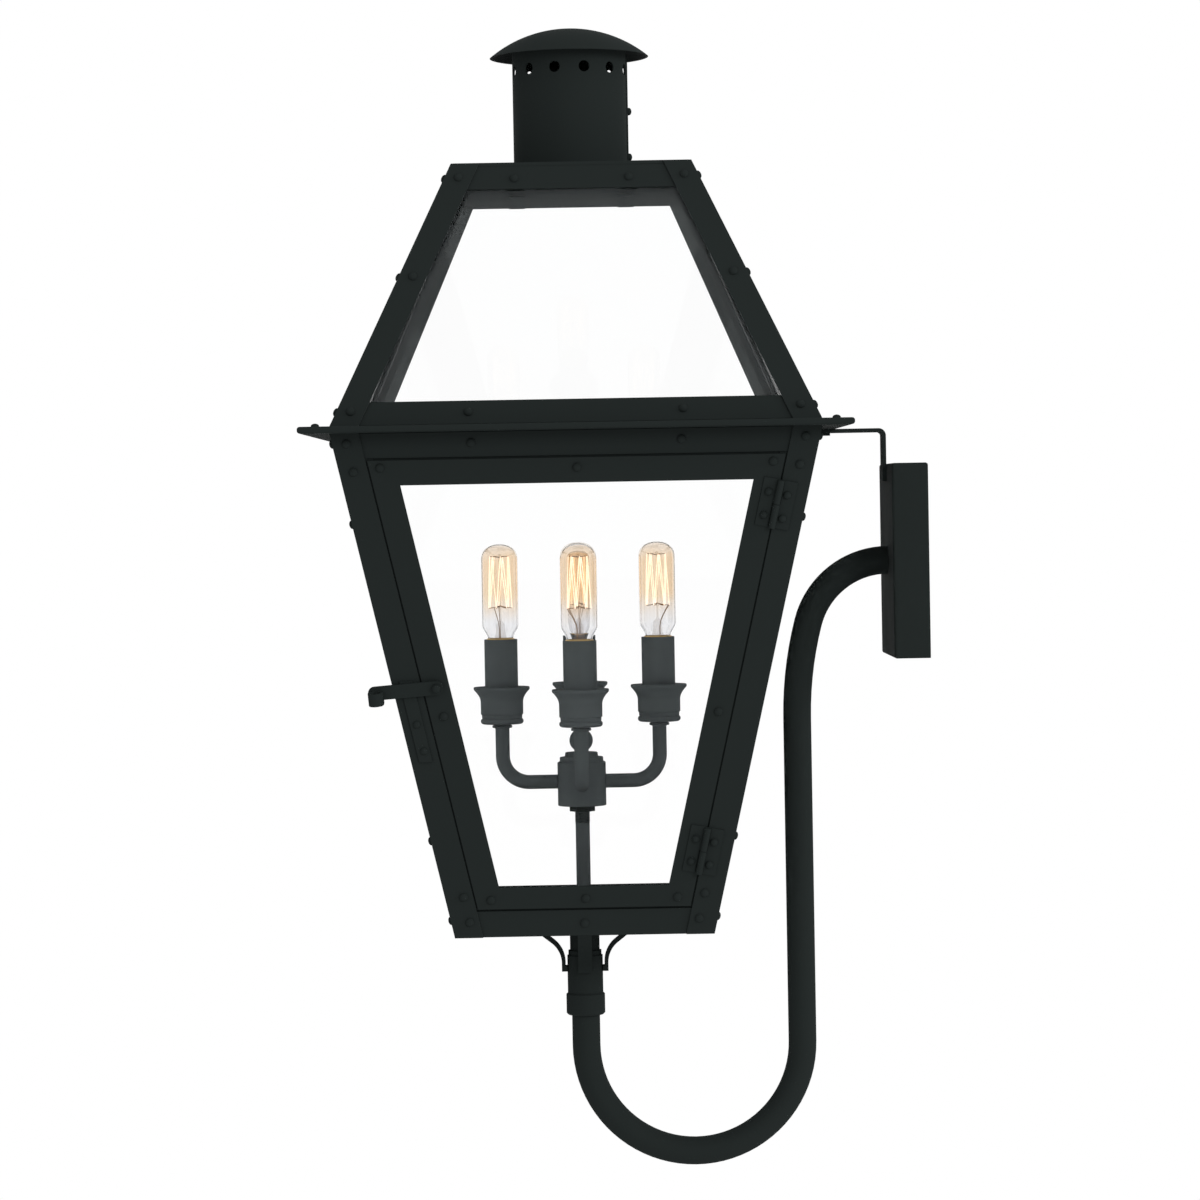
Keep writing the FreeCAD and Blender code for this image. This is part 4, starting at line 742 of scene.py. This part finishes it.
class LANTERN_OT_candle_cups(bpy.types.Operator):
    """Turn the candle cups, their collars and the stepped hub with its ball"""
    bl_idname = "lantern.candle_cups"
    bl_label = "Candle Cups"

    def execute(self, context):
        self.turn_cups()
        self.turn_hub()
        self.turn_ball()
        return {"FINISHED"}

    def turn_cups(self):
        """Cups with a bead below, a flare r = a + b t^1.9 and a rolled lip, and the collars under them."""
        low, high = node_span("candle_cups")
        centres = lamp_centres()
        centres[:, 2] = low[2]
        tall = high[2] - low[2]
        bead = arc((12.5 * MM, 2.1 * MM), 2.1 * MM, -90, 65, 10)
        t = np.linspace(0, 1, 12)
        flare = np.stack((14.5 * MM + 4.4 * MM * t ** 1.9, tall - 10.2 * MM + 8.2 * MM * t), -1)
        well = 11.6 * MM
        profile = np.concatenate((
            [(0.0, 0.0)], bead, [(13.75 * MM, 4.5 * MM), (13.75 * MM, 6.3 * MM), (14.45 * MM, 6.9 * MM)],
            flare, [(19.1 * MM, tall - 1.6 * MM), (19.1 * MM, tall - 0.3 * MM), (18.8 * MM, tall),
                    (well + 0.2 * MM, tall), (well, tall - 4 * MM), (0.0, tall - 5.9 * MM)]))
        points, faces = turned_profile(profile, centres, 64)
        cups = skin("turned_cups", points, faces, "inner_paint_painted_light", "lantern")
        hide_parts("candle_cups")
        collar = softened(np.array((
            (0.0, -3.0), (5.0, -3.0), (5.4, -2.6), (6.7, -2.5),
            (6.8, -1.0), (5.8, -0.7), (5.8, 0.0), (0.0, 0.0))) * MM, 0.3 * MM)
        points, faces = turned_profile(collar, centres, 40)
        skin("cup_collars", points, faces, "inner_paint_painted_light", "lantern")

    def turn_hub(self):
        """A drum with two steps on top."""
        low, high = node_span("cluster_hub")
        drum = (high[1] - low[1]) / 2
        tall = high[2] - low[2]
        step = 3.2 * MM
        lower, upper = tall - 2 * step, tall - step
        profile = softened([
            (0.0, 0.0), (drum - 0.3 * MM, 0.0), (drum, 0.4 * MM), (drum, lower - 0.6 * MM),
            (drum - 0.7 * MM, lower), (drum - 1.6 * MM, lower), (drum - 1.7 * MM, upper),
            (11.4 * MM, upper), (11.0 * MM, tall), (0.0, tall)], 0.7 * MM)
        points, faces = turned_profile(profile, AXIS[None] + (0, 0, low[2]), 72)
        hub = skin("stepped_hub", points, faces, "inner_paint_painted_light", "lantern")
        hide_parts("cluster_hub")

    def turn_ball(self):
        """A ball on a short neck, over the hub."""
        low, high = node_span("hub_finial")
        ball = (high[1] - low[1]) / 2
        middle = high[2] - low[2] - ball
        profile = np.concatenate(([(0.0, 0.0), (4.2 * MM, 0.0), (3.9 * MM, 0.5 * MM)],
                                  arc((0.0, middle), ball, -58, 90, 22)))
        profile[-1, 0] = 0.0
        points, faces = turned_profile(profile, AXIS[None] + (0, 0, low[2]), 48)
        finial = skin("ball_finial", points, faces, "inner_paint_painted_light", "lantern")
        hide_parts("hub_finial")


class LANTERN_OT_bulbs(bpy.types.Operator):
    """Blow the bulbs, with stems, filaments and their wires"""
    bl_idname = "lantern.bulbs"
    bl_label = "Bulbs"

    FIRST_STRAND = 0.35
    LAMP_TURN = 0.9
    STRAND_LOW, STRAND_HIGH = 21.5 * MM, 56.6 * MM
    SUPPORT_RADIUS = 0.26 * MM

    def execute(self, context):
        sizes = context.scene.lantern_sizes
        centres = lamp_centres()
        self.glass(centres)
        self.stems(centres)
        self.filaments(centres, sizes.strand_pairs, sizes.wire_width / 2)
        self.wires(centres, sizes.strand_pairs)
        return {"FINISHED"}

    def glass(self, centres):
        """A shell of even wall: neck, shoulder curve, tube and flattened end, outside up and inside down.

        The end is a superellipse: radius r cos(t)^k, rise h sin(t)^k.
        """
        low, high = node_span("bulb_glasses")
        tall = high[2] - low[2]
        wall, body, neck = 0.8 * MM, 12.4 * MM, 8.5 * MM
        t = np.linspace(0, 1, 14)
        ease = t * t * (3 - 2 * t)
        shoulder = np.stack((neck + (body - neck) * ease, 10 * MM * t), -1)
        dome, power = 10.2 * MM, 0.9
        quarter = np.linspace(0, math.pi / 2, 20)
        end = np.stack((np.cos(quarter), np.sin(quarter)), -1).clip(0, 1) ** power
        foot, spring = -0.2 * MM, (0, tall - dome)
        outside = np.concatenate(([(neck, foot)], shoulder, end * (body, dome) + spring))
        inside = np.concatenate((
            [(neck - wall, foot)], shoulder - (wall, 0), end * (body - wall, dome - wall) + spring))
        outside[-1, 0] = inside[-1, 0] = 0.0
        profile = np.concatenate((inside[::-1], outside))
        centres = centres.copy()
        centres[:, 2] = low[2]
        points, faces = turned_profile(profile, centres, 64)
        bulbs = skin("blown_bulbs", points, faces, "amber_bulb", "lantern")
        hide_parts("bulb_glasses")

    def stems(self, centres):
        """Flared glass foot, pinched press and thin rod, and the brass ring the glass sits on."""
        profile = softened(np.array((
            (0.0, 0.3), (5.2, 0.3), (3.9, 1.6), (3.3, 4.0), (3.0, 8.6), (3.2, 10.2), (0.8, 12.6),
            (0.6, 20.0), (1.3, 21.5), (0.6, 23.4), (0.6, 56.0), (1.2, 57.0), (0.8, 58.2), (0.0, 58.4),
        )) * MM, 0.8 * MM)
        points, faces = turned_profile(profile, centres, 24)
        stems = skin("flared_stems", points, faces, "stem_glass", "lantern")
        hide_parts("bulb_stems")
        ring = softened(np.array((
            (8.7, -0.6), (9.4, -0.6), (9.5, 0.5), (8.7, 0.9), (8.7, -0.6))) * MM, 0.3 * MM)
        points, faces = turned_profile(ring, centres, 48)
        skin("base_rings", points, faces, "bulb_brass", "lantern")

    def filaments(self, centres, turns, wire_radius):
        """Strands that go up and down round the rod: angle grows with s, height is a triangle wave of s."""
        s = np.linspace(0, 2 * turns - 1, (2 * turns - 1) * 12 + 1)
        wave = np.abs((s + 1) % 2 - 1)
        wave = wave + 0.035 * np.sin(math.pi * 2 * s)
        height = self.STRAND_HIGH - (self.STRAND_HIGH - self.STRAND_LOW) * wave
        radius = (6.6 + 1.5 * wave) * MM
        lamp = np.arange(len(centres))[:, None]
        around = s * FULL_TURN / (2 * turns) + self.FIRST_STRAND + lamp * self.LAMP_TURN
        radial = np.stack((np.cos(around), np.sin(around), np.zeros_like(around)), -1)
        paths = radial * radius[:, None] + height[:, None] * np.array((0, 0, 1)) + centres[:, None]
        points, faces = swept_wires(paths, wire_radius, 6, radial)
        skin("filaments", points, faces, "lit_filament", "lantern")

    def wires(self, centres, turns):
        """Hooks from the rod to the strands' turns, above and below, and two leads up through the press."""
        upward = np.array((0, 0, 1.0))
        paths, acrosses = [], []
        t = np.linspace(0, 1, 7)
        for lamp, centre in enumerate(centres):
            start = self.FIRST_STRAND + self.LAMP_TURN * lamp
            for level, sink, reach, first in (
                    (self.STRAND_HIGH, -0.8, 6.7, 0), (self.STRAND_LOW, 1.5, 8.2, 1)):
                around = (np.arange(turns) * 2 + first) * FULL_TURN / (2 * turns) + start
                radius = t * reach * MM
                height = level + sink * MM * (1 - t) ** 2
                spokes = np.stack((np.cos(around)[:, None] * radius, np.sin(around)[:, None] * radius,
                                   np.broadcast_to(height, (turns, len(t)))), -1) + centre
                paths.append(spokes)
                acrosses.append(np.broadcast_to(upward, spokes.shape))
            for turn in (start, start + FULL_TURN * (2 * turns - 1) / (2 * turns)):
                free = ((t - 0.35) / 0.65).clip(0, 1)
                reach = (1.6 + 6.4 * free ** 1.4) * MM
                rise = (1.0 + 20.5 * t) * MM
                lead = np.stack((reach * math.cos(turn), reach * math.sin(turn), rise), -1) + centre
                paths.append(lead[None])
                aside = np.array((-math.sin(turn), math.cos(turn), 0.0))
                acrosses.append(np.broadcast_to(aside, lead[None].shape))
        points, faces = swept_wires(np.concatenate(paths), self.SUPPORT_RADIUS, 5, np.concatenate(acrosses))
        skin("support_wires", points, faces, "support_wire", "lantern")


class LANTERN_OT_stem_thread(bpy.types.Operator):
    """Cut the thread under the hub"""
    bl_idname = "lantern.stem_thread"
    bl_label = "Stem Thread"

    def execute(self, context):
        """Grooves round the stem below the nut: radius = m + d cos(2 pi t), one wave for each groove."""
        nut_foot = node_span("stem_nut")[0][2]
        turns, pitch = 7, 1.1 * MM
        mean, depth, core = 4.98 * MM, 0.22 * MM, 4.7 * MM
        t = np.linspace(0, turns, turns * 8 + 1)
        radius = mean + depth * np.cos(FULL_TURN * t)
        height = nut_foot - turns * pitch + t * pitch
        profile = np.concatenate((
            [(core, height[0])], np.stack((radius, height), -1), [(core, height[-1]), (core, height[0])]))
        points, faces = turned_profile(profile, AXIS[None], 40)
        skin("stem_thread", points, faces, "iron_paint", "lantern")
        return {"FINISHED"}


class LANTERN_OT_stage(bpy.types.Operator):
    """Set up the floor, the light and the camera"""
    bl_idname = "lantern.stage"
    bl_label = "Stage"

    FLOOR_RADIUS = 3.0
    TARGET_ASIDE, TARGET_RISE = 14.58 * MM, 220.03 * MM

    def execute(self, context):
        stage = context.scene.lantern_stage
        self.floor(stage)
        self.lights()
        self.world(context.scene, stage)
        self.camera(context.scene, stage)
        context.scene.view_settings.view_transform = "Standard"
        return {"FINISHED"}

    def floor(self, stage):
        """A round sheet: rings of growing radius on one level."""
        level = CAD_BOX[0][2] - stage.drop
        radius = np.linspace(0, self.FLOOR_RADIUS, 13)
        profile = np.stack((radius, np.full_like(radius, level)), -1)
        points, faces = turned_profile(profile, AXIS[None], 64)
        mesh = bpy.data.meshes.new("floor")
        mesh.from_pydata(points.reshape(-1, 3).tolist(), [], faces[:, ::-1].tolist())
        new_material("pale_floor", Base_Color=(0.9, 0.9, 0.9, 1), Roughness=0.8, Specular_IOR_Level=0.1)
        mesh.materials.append(bpy.data.materials["pale_floor"])
        floor = bpy.data.objects.new("floor", mesh)
        bpy.context.scene.collection.objects.link(floor)

    def lights(self):
        """Four soft panels aimed at the lantern's axis, as name, place, size in metres and watts."""
        for name, place, size, power in (
                ("key_light", (1.2, -2.5, 0.8), 0.8, 20.0), ("fill_light", (2.3, -0.8, 0.9), 0.8, 16.0),
                ("top_light", (-0.2, 0.4, 2.4), 1.6, 3.0), ("back_light", (0.4, 2.4, 1.0), 1.6, 5.0)):
            lamp = bpy.data.lights.new(name, "AREA")
            lamp.size = size
            lamp.energy = power
            light = bpy.data.objects.new(name, lamp)
            place = Vector(place)
            aim = Vector(AXIS) - place
            light.matrix_world = Matrix.LocRotScale(place, aim.to_track_quat("-Z", "Y"), None)
            light.visible_transmission = light.visible_glossy = False
            bpy.context.scene.collection.objects.link(light)

    def world(self, scene, stage):
        """Soft grey light on the lantern; white where the camera, glass or polish looks at it."""
        world = bpy.data.worlds.new("studio")
        world.use_nodes = True
        tree = world.node_tree
        tree.nodes.clear()
        out = tree.nodes.new("ShaderNodeOutputWorld")
        mix = tree.nodes.new("ShaderNodeMixShader")
        soft, white = (tree.nodes.new("ShaderNodeBackground") for _ in range(2))
        soft.inputs["Strength"].default_value = stage.ambient
        for node in (soft, white):
            node.inputs["Color"].default_value = (1, 1, 1, 1)
        path = tree.nodes.new("ShaderNodeLightPath")
        seen = path.outputs["Is Camera Ray"]
        for label in ("Is Glossy Ray", "Is Transmission Ray"):
            either = tree.nodes.new("ShaderNodeMath")
            either.operation = "MAXIMUM"
            tree.links.new(seen, either.inputs[0])
            tree.links.new(path.outputs[label], either.inputs[1])
            seen = either.outputs[0]
        tree.links.new(seen, mix.inputs[0])
        tree.links.new(soft.outputs[0], mix.inputs[1])
        tree.links.new(white.outputs[0], mix.inputs[2])
        tree.links.new(mix.outputs[0], out.inputs["Surface"])
        scene.world = world

    def camera(self, scene, stage):
        """A camera that looks along (-sin a cos p, cos a cos p, sin p) at its target, rolled about it."""
        a, p, roll = stage.azimuth, stage.pitch, stage.roll
        ahead = Vector((-math.sin(a) * math.cos(p), math.cos(a) * math.cos(p), math.sin(p)))
        right = Vector((math.cos(a), math.sin(a), 0))
        up = right.cross(ahead)
        turned_right = right * math.cos(roll) + up * math.sin(roll)
        turned_up = up * math.cos(roll) - right * math.sin(roll)
        target = Vector((AXIS[0] + self.TARGET_ASIDE, 0, CAGE_FOOT + self.TARGET_RISE))
        data = bpy.data.cameras.new("photo_camera")
        data.lens = stage.lens
        data.sensor_width = 36
        data.clip_end = 50
        camera = bpy.data.objects.new("photo_camera", data)
        basis = Matrix((turned_right, turned_up, -ahead)).transposed().to_4x4()
        camera.matrix_world = Matrix.Translation(target - ahead * stage.distance) @ basis
        scene.collection.objects.link(camera)
        scene.camera = camera


class LANTERN_PT_panel(bpy.types.Panel):
    """Lists the lantern's operators"""
    bl_idname = "LANTERN_PT_panel"
    bl_label = "Wall Lantern"
    bl_space_type = "VIEW_3D"
    bl_region_type = "UI"
    bl_category = "Lantern"

    def draw(self, context):
        for operator in OPERATORS:
            self.layout.operator(operator.bl_idname)


OPERATORS = (
    LANTERN_OT_finish, LANTERN_OT_rivets, LANTERN_OT_latch_roll, LANTERN_OT_chimney_seam,
    LANTERN_OT_candle_cups, LANTERN_OT_bulbs, LANTERN_OT_stem_thread, LANTERN_OT_stage,
)
GROUPS = {"lantern_sizes": LanternSizes, "lantern_finish": LanternFinish, "lantern_stage": LanternStage}


def register():
    for group in GROUPS.values():
        bpy.utils.register_class(group)
    for name, group in GROUPS.items():
        setattr(bpy.types.Scene, name, PointerProperty(type=group))
    for item in OPERATORS + (LANTERN_PT_panel,):
        bpy.utils.register_class(item)


def unregister():
    for item in reversed(OPERATORS + (LANTERN_PT_panel,)):
        bpy.utils.unregister_class(item)
    for name in GROUPS:
        delattr(bpy.types.Scene, name)
    for group in reversed(GROUPS.values()):
        bpy.utils.unregister_class(group)


def main():
    register()
    bpy.ops.lantern.finish()
    bpy.ops.lantern.rivets()
    bpy.ops.lantern.latch_roll()
    bpy.ops.lantern.chimney_seam()
    bpy.ops.lantern.candle_cups()
    bpy.ops.lantern.bulbs()
    bpy.ops.lantern.stem_thread()
    bpy.ops.lantern.stage()


if __name__ == "__main__":
    main()
